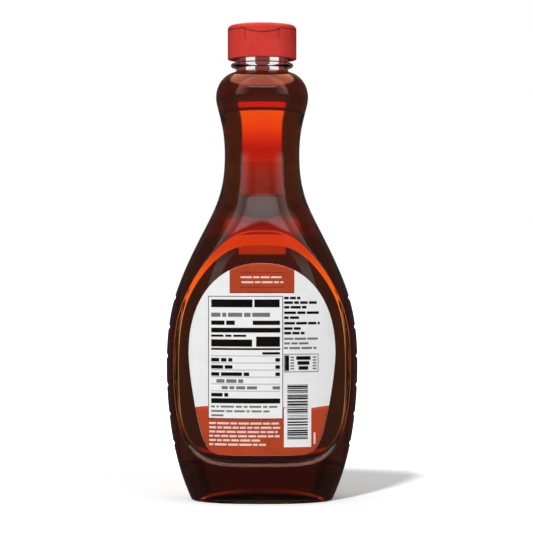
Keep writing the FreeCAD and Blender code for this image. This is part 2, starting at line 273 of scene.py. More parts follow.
class Spline:
    """A smooth curve through values at rising heights, with its two end slopes given."""

    def __init__(self, heights: Sequence[float], values: Sequence[float], start: float, end: float) -> None:
        """Solve for the slope at every height."""
        self.heights = np.array(heights, float)
        self.values = np.array(values, float)
        count = len(heights)
        gaps = np.diff(self.heights)
        rises = np.diff(self.values) / gaps
        matrix = np.eye(count)
        right = np.zeros(count)
        right[0], right[-1] = start, end
        for i in range(1, count - 1):
            matrix[i, i - 1] = gaps[i]
            matrix[i, i] = 2 * (gaps[i - 1] + gaps[i])
            matrix[i, i + 1] = gaps[i - 1]
            right[i] = 3 * (gaps[i] * rises[i - 1] + gaps[i - 1] * rises[i])
        self.slopes = np.linalg.solve(matrix, right)

    def at(self, height: Points) -> tuple[Points, Points]:
        """Return the value and the slope at each height."""
        height = np.clip(height, self.heights[0], self.heights[-1])
        i = np.clip(np.searchsorted(self.heights, height, side="right") - 1, 0, len(self.heights) - 2)
        gap = self.heights[i + 1] - self.heights[i]
        t = (height - self.heights[i]) / gap
        a, b = self.values[i], self.values[i + 1]
        m, n = self.slopes[i] * gap, self.slopes[i + 1] * gap
        value = a + t * (m + t * (3 * (b - a) - 2 * m - n + t * (2 * (a - b) + m + n)))
        slope = (m + t * (2 * (3 * (b - a) - 2 * m - n) + 3 * t * (2 * (a - b) + m + n))) / gap
        return value, slope


@dataclass(frozen=True)
class Station:
    """One level of the body: its height, half sizes and squareness (2 is an ellipse)."""

    height: float
    half_width: float
    half_depth: float
    squareness: float

    def toward(
        self, other: "Station", height: float, width: float, depth: float, squareness: float
    ) -> "Station":
        """Return a level that lies part of the way to another one.

        Args:
            other: The other level.
            height: Its share of the way in height.
            width: Its share of the way in half width.
            depth: Its share of the way in half depth.
            squareness: Its own squareness.

        Returns:
            The level.
        """
        return Station(
            self.height + height * (other.height - self.height),
            self.half_width + width * (other.half_width - self.half_width),
            self.half_depth + depth * (other.half_depth - self.half_depth),
            squareness,
        )


def superellipse(angle: Points, squareness: Points) -> tuple[Points, Points]:
    """Return the point of a unit superellipse that lies in a direction."""
    across, along = np.cos(angle), np.sin(angle)
    scale = (np.abs(across) ** squareness + np.abs(along) ** squareness) ** (-1 / squareness)
    return scale * across, scale * along


@dataclass(frozen=True)
class Outline:
    """An upright oval on a broad face, drawn as two superellipse halves about its widest level."""

    bottom: float
    middle: float
    top: float
    side_inset: float
    lower_squareness: float
    upper_squareness: float

    def grown(self, by: float) -> "Outline":
        """Return the oval moved outwards by a distance."""
        return replace(self, bottom=self.bottom - by, top=self.top + by, side_inset=self.side_inset - by)


@dataclass(frozen=True)
class Detail:
    """How many rings and rows a skin of the body gets."""

    outside: int
    rim: int
    bevel: int
    toe: int
    floor: int
    upper: int
    dome: int
    corner: int
    hollow: int


OUTER_DETAIL = Detail(outside=22, rim=6, bevel=3, toe=5, floor=9, upper=46, dome=18, corner=6, hollow=14)
INNER_DETAIL = Detail(outside=9, rim=2, bevel=1, toe=2, floor=5, upper=20, dome=9, corner=3, hollow=7)


class BodyShape:
    """The moulded body, as a surface that can be moved inwards by an inset.

    Between two stations lie levels, each given by its shares of the way from one station to the
    next, in height, half width and half depth, and by its own squareness.
    """

    base = Station(0.0, 30.2, 20.8, 2.40)
    belly = Station(58.8, 41.0, 24.7, 2.45)
    waist = Station(147.4, 16.06, 16.06, 2.00)
    bulge = Station(172.4, 19.8, 19.8, 2.00)
    base_to_belly = ((0.282, 0.556, 0.564, 2.40), (0.575, 0.861, 0.820, 2.42))
    belly_to_waist = (
        (0.300, 0.128, 0.035, 2.50),
        (0.494, 0.393, 0.116, 2.55),
        (0.634, 0.638, 0.278, 2.35),
        (0.786, 0.886, 0.671, 2.00),
    )
    waist_to_bulge = ((0.444, 0.225, 0.225, 2.00), (0.788, 0.760, 0.760, 2.00))
    base_slopes = (0.45, 0.16)
    base_edge = 1.1
    wall_foot = 1.6
    dome_height = 10.9
    dome_overlap = 1.0
    neck_radius = 11.35
    standing_ring = 5.0
    push_up = 6.0
    base_wall = 1.0
    panel_bottom = 16.0
    panel_top_share = 0.629
    panel_side_inset = 3.3
    panel_squareness = (5.0, 3.3)
    floor_rise = 1.0
    floor_drop = 5.9
    floor_side_inset = 2.5
    floor_sink = 0.5
    rim_radius = 0.7
    toe_radius = 1.2
    join_height = 119.0
    half_columns = 96

    def __init__(self) -> None:
        """Work out the curves and the panel's outlines from the stations."""
        base, belly, waist, bulge = self.base, self.belly, self.waist, self.bulge
        stations = [base]
        for start, end, levels in (
            (base, belly, self.base_to_belly),
            (belly, waist, self.belly_to_waist),
            (waist, bulge, self.waist_to_bulge),
        ):
            stations += [start.toward(end, *level) for level in levels]
            stations.append(end)
        heights = [station.height for station in stations]
        self.width = Spline(heights, [s.half_width for s in stations], self.base_slopes[0], 0.0)
        self.depth = Spline(heights, [s.half_depth for s in stations], self.base_slopes[1], 0.0)
        self.squareness = Spline(heights, [s.squareness for s in stations], 0.0, 0.0)
        panel_top = belly.height + self.panel_top_share * (waist.height - belly.height)
        self.rim = Outline(
            self.panel_bottom, belly.height, panel_top, self.panel_side_inset, *self.panel_squareness
        )
        self.floor = replace(
            self.rim,
            bottom=self.rim.bottom + self.floor_rise,
            top=self.rim.top - self.floor_drop,
            side_inset=self.rim.side_inset + self.floor_side_inset,
        )
        self.floor_half_width = belly.half_width
        rim_ends = np.array([self.rim.bottom, self.rim.top])
        self.floor_half_depth = float(self.depth.at(rim_ends)[0].min()) - self.floor_sink
        self.dome_inner = self.neck_radius - self.dome_overlap

    def section(self, height: Points, inset: float) -> tuple[Points, Points, Points]:
        """Return half width, half depth and squareness at each height, moved inwards."""
        half_width, width_slope = self.width.at(height)
        half_depth, depth_slope = self.depth.at(height)
        squareness = np.maximum(2.0, self.squareness.at(height)[0])
        half_width = half_width - inset * np.hypot(1, width_slope)
        half_depth = half_depth - inset * np.hypot(1, depth_slope)
        return half_width, half_depth, squareness

    def surface(self, angle: Points, height: Points, inset: float) -> Points:
        """Return points of the body below the bulge.

        Args:
            angle: Direction in the section, from 0 on the +X side through the front at a right angle.
            height: Height of each point.
            inset: How far inside the outer skin they lie.

        Returns:
            The points, one in each row.
        """
        half_width, half_depth, squareness = self.section(height, inset)
        across, along = superellipse(angle, squareness)
        return np.stack([half_width * across, -half_depth * along, height + 0 * angle], -1)

    def outline_point(self, outline: Outline, angle: Points) -> tuple[Points, Points]:
        """Return x and height on an outline that keeps its inset from the silhouette."""
        upper = np.sin(angle) >= 0
        squareness = np.where(upper, outline.upper_squareness, outline.lower_squareness)
        across, along = superellipse(angle, squareness)
        end = np.where(upper, outline.top, outline.bottom)
        height = outline.middle + np.abs(along) * (end - outline.middle)
        return across * (self.width.at(height)[0] - outline.side_inset), height

    def section_angle(self, x: Points, height: Points) -> Points:
        """Return the section direction of a place on the front face."""
        half_width, _, squareness = self.section(height, 0.0)
        share = np.clip(np.abs(x) / half_width, 0, 1)
        angle = np.arctan2((1 - share ** squareness) ** (1 / squareness), share)
        return np.where(x >= 0, angle, math.pi - angle)

    def floor_point(self, x: Points, height: Points, inset: float) -> Points:
        """Return points of the panel's floor, an upright elliptic cylinder."""
        share = np.clip(np.abs(x) / (self.floor_half_width - inset), 0, 1)
        depth = (self.floor_half_depth - inset) * np.sqrt(1 - share ** 2)
        return np.stack([x, -depth, height], -1)

    def dome_profile(self, inset: float, last_radius: float, count: int) -> Profile:
        """Return radius and height up the dome, from the bulge to a last radius."""
        spread = self.bulge.half_width - self.dome_inner - inset
        last = math.acos((last_radius - self.dome_inner) / spread)
        angles = np.linspace(0, last, count + 1)
        radii = self.dome_inner + spread * np.cos(angles)
        heights = self.bulge.height + (self.dome_height - inset) * np.sin(angles)
        return list(zip(radii, heights))

    def ring(self, radius: float, height: float) -> Points:
        """Return a level circle with the body's columns."""
        angle = self.column_angles()
        return np.stack([radius * np.cos(angle), -radius * np.sin(angle), np.full(len(angle), height)], -1)

    def column_angles(self) -> Points:
        """Return the directions of the body's columns."""
        return np.arange(2 * self.half_columns) * math.pi / self.half_columns


class ShapeTree:
    """A Geometry Nodes tree in the making, with named inputs for its sizes and its finish."""

    def __init__(self, name: str, sizes: dict[str, float]) -> None:
        """Start the tree with its inputs and output.

        Args:
            name: The tree's name.
            sizes: The name of each size and its millimetres.
        """
        self.tree = bpy.data.node_groups.new(name, "GeometryNodeTree")
        face = self.tree.interface
        face.new_socket("Geometry", in_out="INPUT", socket_type="NodeSocketGeometry")
        for size, value in sizes.items():
            face.new_socket(size, in_out="INPUT", socket_type="NodeSocketFloat").default_value = value * MM
        finish = face.new_socket("Finish", in_out="INPUT", socket_type="NodeSocketMaterial")
        self.finish_socket = finish.identifier
        face.new_socket("Geometry", in_out="OUTPUT", socket_type="NodeSocketGeometry")
        self.entry = self.tree.nodes.new("NodeGroupInput")

    def size(self, name: str) -> NodeField:
        """Return one of the sizes as a field."""
        return NodeField(self.tree, self.entry.outputs[name])

    def position(self) -> tuple[NodeField, ...]:
        """Return the coordinates of each point."""
        return split(self.tree, self.tree.nodes.new("GeometryNodeInputPosition").outputs[0])

    def stored(self, name: str, kind: str) -> bpy.types.NodeSocket:
        """Return what an attribute of the mesh holds, of the given data type."""
        node = self.tree.nodes.new("GeometryNodeInputNamedAttribute")
        node.data_type = kind
        node.inputs["Name"].default_value = name
        return node.outputs["Attribute"]

    def shift(self, geometry: bpy.types.NodeSocket, offset: bpy.types.NodeSocket) -> bpy.types.NodeSocket:
        """Return the geometry with each point moved by an offset."""
        node = self.tree.nodes.new("GeometryNodeSetPosition")
        self.tree.links.new(geometry, node.inputs["Geometry"])
        self.tree.links.new(offset, node.inputs["Offset"])
        return node.outputs[0]

    def realize(self, geometry: bpy.types.NodeSocket) -> bpy.types.NodeSocket:
        """Return the geometry with its instances made real."""
        node = self.tree.nodes.new("GeometryNodeRealizeInstances")
        self.tree.links.new(geometry, node.inputs[0])
        return node.outputs[0]

    def end(self, geometry: bpy.types.NodeSocket) -> None:
        """End the tree in Realize Instances and Set Material."""
        dress = self.tree.nodes.new("GeometryNodeSetMaterial")
        leave = self.tree.nodes.new("NodeGroupOutput")
        self.tree.links.new(self.realize(geometry), dress.inputs["Geometry"])
        self.tree.links.new(self.entry.outputs["Finish"], dress.inputs["Material"])
        self.tree.links.new(dress.outputs[0], leave.inputs[0])

    def apply(self, piece: bpy.types.Object, finish: bpy.types.Material) -> None:
        """Run the tree on a piece and keep the result as its plain mesh.

        Args:
            piece: The object that the tree works on.
            finish: The material that it gets.
        """
        modifier = piece.modifiers.new("shape", "NODES")
        modifier.node_group = self.tree
        modifier[self.finish_socket] = finish
        evaluated = piece.evaluated_get(bpy.context.evaluated_depsgraph_get())
        mesh = bpy.data.meshes.new_from_object(evaluated)
        piece.modifiers.remove(modifier)
        piece.data = mesh
        mesh.name = piece.name


@dataclass(frozen=True)
class Grooves:
    """The finger grooves pressed into each narrow side."""

    count: int = 6
    lowest: float = 24.4
    highest: float = 86.4
    depth: float = 0.55
    radius: float = 1.2
    half_length: float = 7.5
    softness: float = 0.14
    rows_below: int = 15
    rows_above: int = 22
    fine_rows: int = 10
    coarse_rows: int = 7
    fine_reach: float = 1.5

    @property
    def pitch(self) -> float:
        """Return the distance from one groove to the next."""
        return (self.highest - self.lowest) / (self.count - 1)

    @property
    def fine_ends(self) -> Span:
        """Return the heights between which the rows lie close together at each groove."""
        return self.lowest - self.fine_reach, self.highest + self.fine_reach

    def side_rows(self, bottom: float, top: float) -> Points:
        """Return the heights of the rows up a narrow side, close together at each groove."""
        low, high = self.fine_ends
        rows = [np.linspace(bottom, low, self.rows_below)[:-1]]
        for index in range(self.count):
            centre = self.lowest + self.pitch * index
            start, end = centre - self.fine_reach, centre + self.fine_reach
            rows.append(np.linspace(start, end, self.fine_rows + 1)[:-1])
            if index < self.count - 1:
                rows.append(np.linspace(end, start + self.pitch, self.coarse_rows + 1)[:-1])
        rows.append(np.linspace(high, top, self.rows_above))
        return np.concatenate(rows)

    def tree(self) -> ShapeTree:
        """Return the tree that presses the grooves, wider in a skin that lies further in."""
        form = ShapeTree("press_finger_grooves", {
            "Lowest Groove": self.lowest,
            "Highest Groove": self.highest,
            "Pitch": self.pitch,
            "Depth": self.depth,
            "Radius": self.radius,
            "Half Length": self.half_length,
            "Softness": self.softness,
        })
        x, y, z = form.position()
        lowest, pitch, softness = form.size("Lowest Groove"), form.size("Pitch"), form.size("Softness")
        centre = ((z - lowest) / pitch).math("ROUND") * pitch + lowest
        centre = centre.math("MAXIMUM", lowest).math("MINIMUM", form.size("Highest Groove"))
        offset = z - centre
        reach = y / form.size("Half Length")
        depth = form.size("Depth") - form.size("Depth") * reach * reach
        radius = form.size("Radius") + NodeField(form.tree, form.stored(SKIN_INSET, "FLOAT"))
        chord = (radius * radius - offset * offset).math("MAXIMUM", 0.0).math("SQRT")
        sharp = depth - radius + chord
        soft = (sharp * sharp + softness * softness).math("SQRT")
        press = (sharp + soft) * x.math("SIGN") * -0.5
        form.end(form.shift(form.entry.outputs["Geometry"], join(form.tree, (press, None, None))))
        return form


@dataclass(frozen=True)
class BodySkin:
    """One skin of the body, up to where it turns into the round neck."""

    shape: BodyShape
    grooves: Grooves
    inset: float
    floor_height: float
    detail: Detail
    trials: int = 2001
    crowding: float = 1.2
    longest_rounding: float = 0.4
    lip_share: float = 0.2
    brim_share: float = 0.985
    crown_share: float = 0.97

    def loop(self) -> tuple[Points, Points, Points]:
        """Return the loop that the panel block is drawn round.

        Returns:
            The rim's angles, and the section angles and heights of the block's edge.
        """
        shape, columns = self.shape, self.shape.half_columns
        bottom, top = self.floor_height + shape.wall_foot, shape.join_height
        side = self.grooves.side_rows(bottom, top)
        trial = np.linspace(-math.pi / 4, math.pi / 4, self.trials)
        trial_height = shape.outline_point(shape.rim, trial)[1]
        fine = self.grooves.fine_ends
        target = np.interp(side, [bottom, *fine, top], [trial_height[0], *fine, trial_height[-1]])
        side_angle = np.interp(target, trial_height, trial)
        sweep = np.arange(columns) / columns
        rim_angle = np.concatenate([
            side_angle[:-1],
            math.pi / 4 + sweep * math.pi / 2,
            math.pi - side_angle[:0:-1],
            math.pi * 5 / 4 + sweep * math.pi / 2,
        ])
        edge_angle = np.concatenate([
            np.zeros(len(side) - 1),
            sweep * math.pi,
            np.full(len(side) - 1, math.pi),
            (1 - sweep) * math.pi,
        ])
        edge_height = np.concatenate([
            side[:-1],
            np.full(columns, top),
            side[:0:-1],
            np.full(columns, bottom),
        ])
        return rim_angle, edge_angle, edge_height

    def panel_rings(self) -> list[Points]:
        """Return the rings of the -Y half, from the block's edge inwards to the panel's middle."""
        shape, detail, inset = self.shape, self.detail, self.inset
        rim_angle, edge_angle, edge_height = self.loop()
        outer_x, outer_height = shape.outline_point(shape.rim.grown(shape.rim_radius), rim_angle)
        outer_angle = shape.section_angle(outer_x, outer_height)
        rings = []
        for share in np.linspace(1, 0, detail.outside + 1) ** self.crowding:
            angle = outer_angle + share * (edge_angle - outer_angle)
            height = outer_height + share * (edge_height - outer_height)
            rings.append(shape.surface(angle, height, inset))
        rim_x, rim_height = shape.outline_point(shape.rim, rim_angle)
        rim = shape.surface(shape.section_angle(rim_x, rim_height), rim_height, inset)
        foot = shape.floor_point(*shape.outline_point(shape.floor, rim_angle), inset)
        length = np.linalg.norm(rim - foot, axis=1)[:, None]
        bevel_start = rim + (foot - rim) * np.minimum(shape.rim_radius / length, self.longest_rounding)
        bevel_end = rim + (foot - rim) * (1 - np.minimum(shape.toe_radius / length, self.longest_rounding))
        rings += bezier(rings.pop(), rim, bevel_start, detail.rim)
        for share in np.linspace(0, 1, detail.bevel + 1)[1:-1]:
            rings.append(bevel_start + share * (bevel_end - bevel_start))
        inner_x, inner_height = shape.outline_point(shape.floor.grown(-shape.toe_radius), rim_angle)
        rings += bezier(bevel_end, foot, shape.floor_point(inner_x, inner_height, inset), detail.toe)
        for share in np.linspace(1, 0, detail.floor + 1)[1:-1]:
            height = shape.floor.middle + share * (inner_height - shape.floor.middle)
            rings.append(shape.floor_point(share * inner_x, height, inset))
        return rings

    def base_rings(self) -> list[Points]:
        """Return the rings of the base, from the wall inwards to the top of the push-up."""
        shape, detail, low = self.shape, self.detail, self.floor_height
        angle = shape.column_angles()
        wall, start, corner = (
            shape.surface(angle, np.full(len(angle), low + height), self.inset)
            for height in (shape.wall_foot, shape.base_edge, 0.0)
        )
        end = corner * (1 - np.array([1, 1, 0]) * shape.base_edge / np.hypot(corner[:, :1], corner[:, 1:2]))
        half_width = shape.base.half_width - shape.standing_ring + self.inset
        half_depth = shape.base.half_depth - shape.standing_ring + self.inset
        rise = shape.push_up + self.inset
        brim = math.sqrt(1 - (low / rise) ** 2)

        def hollow(share: float) -> Points:
            """Return a ring of the push-up at a share of its half sizes."""
            height = rise * math.sqrt(max(0.0, 1 - share ** 2))
            x, y = half_width * share * np.cos(angle), -half_depth * share * np.sin(angle)
            return np.stack([x, y, np.full(len(angle), max(height, low))], -1)

        edge = hollow(brim)
        lip = edge + (end - edge) * self.lip_share
        rings = [wall] + bezier(start, corner, end, detail.corner)
        rings += bezier(lip, edge, hollow(self.brim_share * brim), detail.corner)
        for turn in np.linspace(0, 1, detail.hollow + 1)[1:-1]:
            rings.append(hollow(self.crown_share * math.cos(turn * math.pi / 2)))
        return rings

    def add_to(self, draft: MeshDraft) -> Points:
        """Add the skin to a draft.

        Args:
            draft: The draft that takes its faces.

        Returns:
            The skin's last ring, at the bulge.
        """
        shape = self.shape
        draft.inset = self.inset
        front = self.panel_rings()
        half_turn = np.array([-1, -1, 1])
        for rings in (front, [ring * half_turn for ring in front]):
            draft.stitch(rings)
            draft.close(rings[-1])
        base = self.base_rings()
        draft.stitch(base)
        draft.close(base[-1])
        angle = shape.column_angles()
        rows = np.linspace(shape.join_height, shape.bulge.height, self.detail.upper + 1)
        upper = [shape.surface(angle, np.full(len(angle), row), self.inset) for row in rows]
        draft.stitch(upper)
        return upper[-1]


# ---------------------------------------------------------------- finishes

class Dressing:
    """A material in the making: one Principled shader and the textures that feed it."""

    def __init__(self, name: str) -> None:
        """Start a material with its shader and Object coordinates."""
        self.material = bpy.data.materials.new(name)
        self.material.use_nodes = True
        self.tree = self.material.node_tree
        self.shader = self.tree.nodes["Principled BSDF"]
        self.output = self.tree.nodes["Material Output"]
        self.place = self.tree.nodes.new("ShaderNodeTexCoord").outputs["Object"]

    def set(self, **values: float | Colour) -> None:
        """Set the shader's own sockets, named with underscores for spaces."""
        for name, value in values.items():
            socket = self.shader.inputs[name.replace("_", " ")]
            socket.default_value = (*value, 1.0) if isinstance(value, tuple) else value

    def noise(self, scale: float, detail: float = 2.0, stretch: Place = (1.0, 1.0, 1.0)) -> NodeField:
        """Return a noise field on Object coordinates.

        Args:
            scale: Its waves to a metre.
            detail: How many finer layers it has.
            stretch: How the coordinates are scaled first.

        Returns:
            The noise, from 0 to 1.
        """
        mapping = self.tree.nodes.new("ShaderNodeMapping")
        mapping.inputs["Scale"].default_value = stretch
        self.tree.links.new(self.place, mapping.inputs["Vector"])
        node = self.tree.nodes.new("ShaderNodeTexNoise")
        node.inputs["Scale"].default_value = scale
        node.inputs["Detail"].default_value = detail
        self.tree.links.new(mapping.outputs[0], node.inputs["Vector"])
        return NodeField(self.tree, node.outputs["Fac"])

    def roughen(self, field: NodeField, low: float, high: float) -> None:
        """Let a field move the roughness between two values."""
        node = self.tree.nodes.new("ShaderNodeMapRange")
        node.inputs["From Min"].default_value, node.inputs["From Max"].default_value = NOISE_SPAN
        node.inputs["To Min"].default_value = low
        node.inputs["To Max"].default_value = high
        self.tree.links.new(field.socket, node.inputs["Value"])
        self.tree.links.new(node.outputs["Result"], self.shader.inputs["Roughness"])

    def tint(self, field: NodeField, first: Colour, second: Colour) -> None:
        """Let a field move the base colour between two colours."""
        node = self.tree.nodes.new("ShaderNodeMix")
        node.data_type = "RGBA"
        sockets = {socket.identifier: socket for socket in node.inputs}
        sockets["A_Color"].default_value = (*first, 1.0)
        sockets["B_Color"].default_value = (*second, 1.0)
        self.tree.links.new(field.step(*NOISE_SPAN).socket, sockets["Factor_Float"])
        result = next(socket for socket in node.outputs if socket.identifier == "Result_Color")
        self.tree.links.new(result, self.shader.inputs["Base Color"])

    def bump(self, field: NodeField, depth: float) -> None:
        """Let a field raise the surface by a depth in metres."""
        node = self.tree.nodes.new("ShaderNodeBump")
        node.inputs["Strength"].default_value = 1.0
        node.inputs["Distance"].default_value = depth
        self.tree.links.new(field.socket, node.inputs["Height"])
        self.tree.links.new(node.outputs[0], self.shader.inputs["Normal"])


@dataclass(frozen=True)
class ClearPlastic:
    """Clear blow-moulded plastic, a little wavy."""

    bends_light: float = 1.5
    roughness: Span = (0.0, 0.025)
    haze_scale: float = 300.0
    wave_scale: float = 45.0
    wave_stretch: Place = (1.0, 1.0, 0.4)
    wave_depth: float = 0.00002

    def make(self) -> bpy.types.Material:
        """Return the material."""
        dressing = Dressing("clear_plastic")
        dressing.set(Base_Color=(1.0, 1.0, 1.0), IOR=self.bends_light, Transmission_Weight=1.0)
        dressing.roughen(dressing.noise(self.haze_scale, 3.0), *self.roughness)
        dressing.bump(dressing.noise(self.wave_scale, 1.0, self.wave_stretch), self.wave_depth)
        return dressing.material


@dataclass(frozen=True)
class DarkSyrup:
    """Clear dark syrup, whose colour deepens with its thickness."""

    bends_light: float = 1.5
    colour: Colour = (0.981, 0.571, 0.020)
    density: float = 170.0
    roughness: Span = (0.0, 0.01)
    haze_scale: float = 80.0

    def make(self) -> bpy.types.Material:
        """Return the material."""
        dressing = Dressing("dark_syrup")
        dressing.set(Base_Color=(1.0, 1.0, 1.0), IOR=self.bends_light, Transmission_Weight=1.0)
        dressing.roughen(dressing.noise(self.haze_scale), *self.roughness)
        absorb = dressing.tree.nodes.new("ShaderNodeVolumeAbsorption")
        absorb.inputs["Color"].default_value = (*self.colour, 1.0)
        absorb.inputs["Density"].default_value = self.density
        dressing.tree.links.new(absorb.outputs[0], dressing.output.inputs["Volume"])
        return dressing.material


@dataclass(frozen=True)
class MouldedPlastic:
    """Solid-coloured satin plastic with a fine grain."""

    name: str
    colour: Colour
    shade: Colour
    roughness: Span = (0.32, 0.42)
    grain_depth: float = 0.00001
    shine: float = 0.5
    bends_light: float = 1.5
    mottle_scale: float = 120.0
    sheen_scale: float = 500.0
    grain_scale: float = 1500.0

    def make(self) -> bpy.types.Material:
        """Return the material."""
        dressing = Dressing(self.name)
        dressing.set(IOR=self.bends_light, Specular_IOR_Level=self.shine)
        dressing.tint(dressing.noise(self.mottle_scale, 3.0), self.colour, self.shade)
        dressing.roughen(dressing.noise(self.sheen_scale, 3.0), *self.roughness)
        dressing.bump(dressing.noise(self.grain_scale), self.grain_depth)
        return dressing.material


INK_ROUGHNESS = (0.40, 0.50)
INK_GRAIN = 0.000002
INK_SHINE = 0.15


class Ink(Enum):
    """The inks of the label: name, colour, darker shade and how high it lies, in millimetres."""

    RED = ("red", (0.440, 0.058, 0.018), (0.400, 0.048, 0.014), 0.02)
    DARK_RED = ("dark_red", (0.250, 0.024, 0.010), (0.220, 0.020, 0.008), 0.05)
    WHITE = ("white", (0.830, 0.830, 0.830), (0.800, 0.800, 0.800), 0.05)
    PALE = ("pale", (0.780, 0.620, 0.560), (0.740, 0.570, 0.510), 0.08)
    GREY = ("grey", (0.180, 0.180, 0.180), (0.150, 0.150, 0.150), 0.08)
    BLACK = ("black", (0.003, 0.003, 0.003), (0.005, 0.005, 0.005), 0.08)

    def material(self) -> bpy.types.Material:
        """Return the ink's material."""
        name, colour, shade, _ = self.value
        return MouldedPlastic(f"ink_{name}", colour, shade, INK_ROUGHNESS, INK_GRAIN, INK_SHINE).make()

    @property
    def lift(self) -> float:
        """Return how high the ink lies on the label."""
        return self.value[3]


# ---------------------------------------------------------------- bottle and syrup

@dataclass(frozen=True)
class Bottle:
    """The clear bottle: its body's outer and inner skins, joined over the mouth of its neck."""

    shape: BodyShape
    grooves: Grooves
    wall: float = 0.6
    bore: float = 10.0
    stem_height: float = 1.6
    bead_proud: float = 2.1
    bead_height: float = 2.4
    band_underside: float = 189.6
    band_proud: float = 1.35
    neck_top: float = 199.4
    join_depth: float = 4.0
    edge: float = 0.25
    edge_steps: int = 3
    dome_gap: float = 0.35
    stem_sink: float = 0.02
    bead_turn: float = 0.12
    bead_points: int = 17
    inner_gap: float = 0.9
    inner_rise: float = 0.05
    inner_edge: float = 0.5
    inner_steps: int = 4

    @property
    def join_height(self) -> float:
        """Return where the outer and the inner skin meet in the neck's bore."""
        return self.neck_top - self.join_depth

    def outer_neck(self) -> Profile:
        """Return radius and height from the bulge up the outside of the neck to its mouth."""
        shape = self.shape
        radius = shape.neck_radius
        foot = shape.bulge.height + shape.dome_height
        dome = shape.dome_profile(0.0, radius + self.dome_gap, OUTER_DETAIL.dome)
        bead_low = foot + self.stem_height
        bead_middle = bead_low + self.bead_height / 2
        bead = [
            (radius + self.bead_proud * math.sin(turn), bead_middle - self.bead_height / 2 * math.cos(turn))
            for turn in np.linspace(self.bead_turn, math.pi - self.bead_turn, self.bead_points)
        ]
        band = radius + self.band_proud
        below = [dome[-1], (radius, foot - self.stem_sink), (radius, bead_low), bead[0]]
        above = [
            bead[-1],
            (radius, bead_low + self.bead_height),
            (radius, self.band_underside),
            (band, self.band_underside),
            (band, self.neck_top),
            (self.bore, self.neck_top),
            (self.bore, self.join_height),
        ]
        stem, top = (rounded_profile(corners, self.edge, self.edge_steps) for corners in (below, above))
        return dome[:-1] + stem[:-1] + bead + top[1:]

    def inner_neck(self, inset: float, bore: float, top: float) -> Profile:
        """Return radius and height from the bulge up the inside of the neck.

        Args:
            inset: How far inside the outer skin the dome lies.
            bore: The neck's inner radius.
            top: Where the profile ends.

        Returns:
            The profile's points.
        """
        shape = self.shape
        dome = shape.dome_profile(inset, bore + self.inner_gap, INNER_DETAIL.dome)
        height = shape.bulge.height + shape.dome_height - inset + self.inner_rise
        corners = [dome[-1], (bore, height), (bore, top)]
        return dome[:-1] + rounded_profile(corners, self.inner_edge, self.inner_steps)

    def build(self) -> bpy.types.Object:
        """Return the clear bottle, closed round its wall."""
        draft = MeshDraft()
        BodySkin(self.shape, self.grooves, 0.0, 0.0, OUTER_DETAIL).add_to(draft)
        BodySkin(self.shape, self.grooves, self.wall, self.shape.base_wall, INNER_DETAIL).add_to(draft)
        for profile in (self.outer_neck(), self.inner_neck(self.wall, self.bore, self.join_height)):
            draft.stitch([self.shape.ring(*point) for point in profile])
        return draft.build("bottle_skin")


@dataclass(frozen=True)
class Syrup:
    """The syrup: it reaches just into the bottle's wall, so that no air shows between them."""

    bottle: Bottle
    level: float
    reach: float = 0.1
    meniscus_height: float = 0.45
    meniscus_width: float = 0.9
    surface_rings: int = 15
    surface_crowding: float = 0.6

    def build(self) -> bpy.types.Object:
        """Return the syrup up to its level."""
        bottle, shape = self.bottle, self.bottle.shape
        inset = bottle.wall - self.reach
        bore = bottle.bore + self.reach
        draft = MeshDraft()
        BodySkin(shape, bottle.grooves, inset, shape.base_wall - self.reach, INNER_DETAIL).add_to(draft)
        crest = self.level + self.meniscus_height
        profile = bottle.inner_neck(inset, bore, crest)
        for radius in bore * np.linspace(1, 0, self.surface_rings)[1:-1] ** self.surface_crowding:
            height = self.level + self.meniscus_height * math.exp((radius - bore) / self.meniscus_width)
            profile.append((radius, height))
        rings = [shape.ring(*point) for point in profile]
        draft.stitch(rings)
        draft.close(rings[-1])
        return draft.build("syrup_fill")


# ---------------------------------------------------------------- label print

@dataclass(frozen=True)
class Bar:
    """One upright rectangle of print: its centre, width and height on the label."""

    x: float
    z: float
    width: float
    height: float
    ink: Ink


@dataclass(frozen=True)
class WordRow:
    """One row of print in the panel of facts: words from the left, and one on the right."""

    drop: float
    height: float
    words: tuple[float, ...] = ()
    right: float = 0.0
    indent: float = 0.0
    ink: Ink = Ink.BLACK


@dataclass(frozen=True)
class WordBlock:
    """A block of small words: where it starts, its rows and its words, with the seed of their lengths."""

    left: float
    top: float
    pitch: float
    height: float
    widths: tuple[float, ...]
    ink: Ink
    seed: int


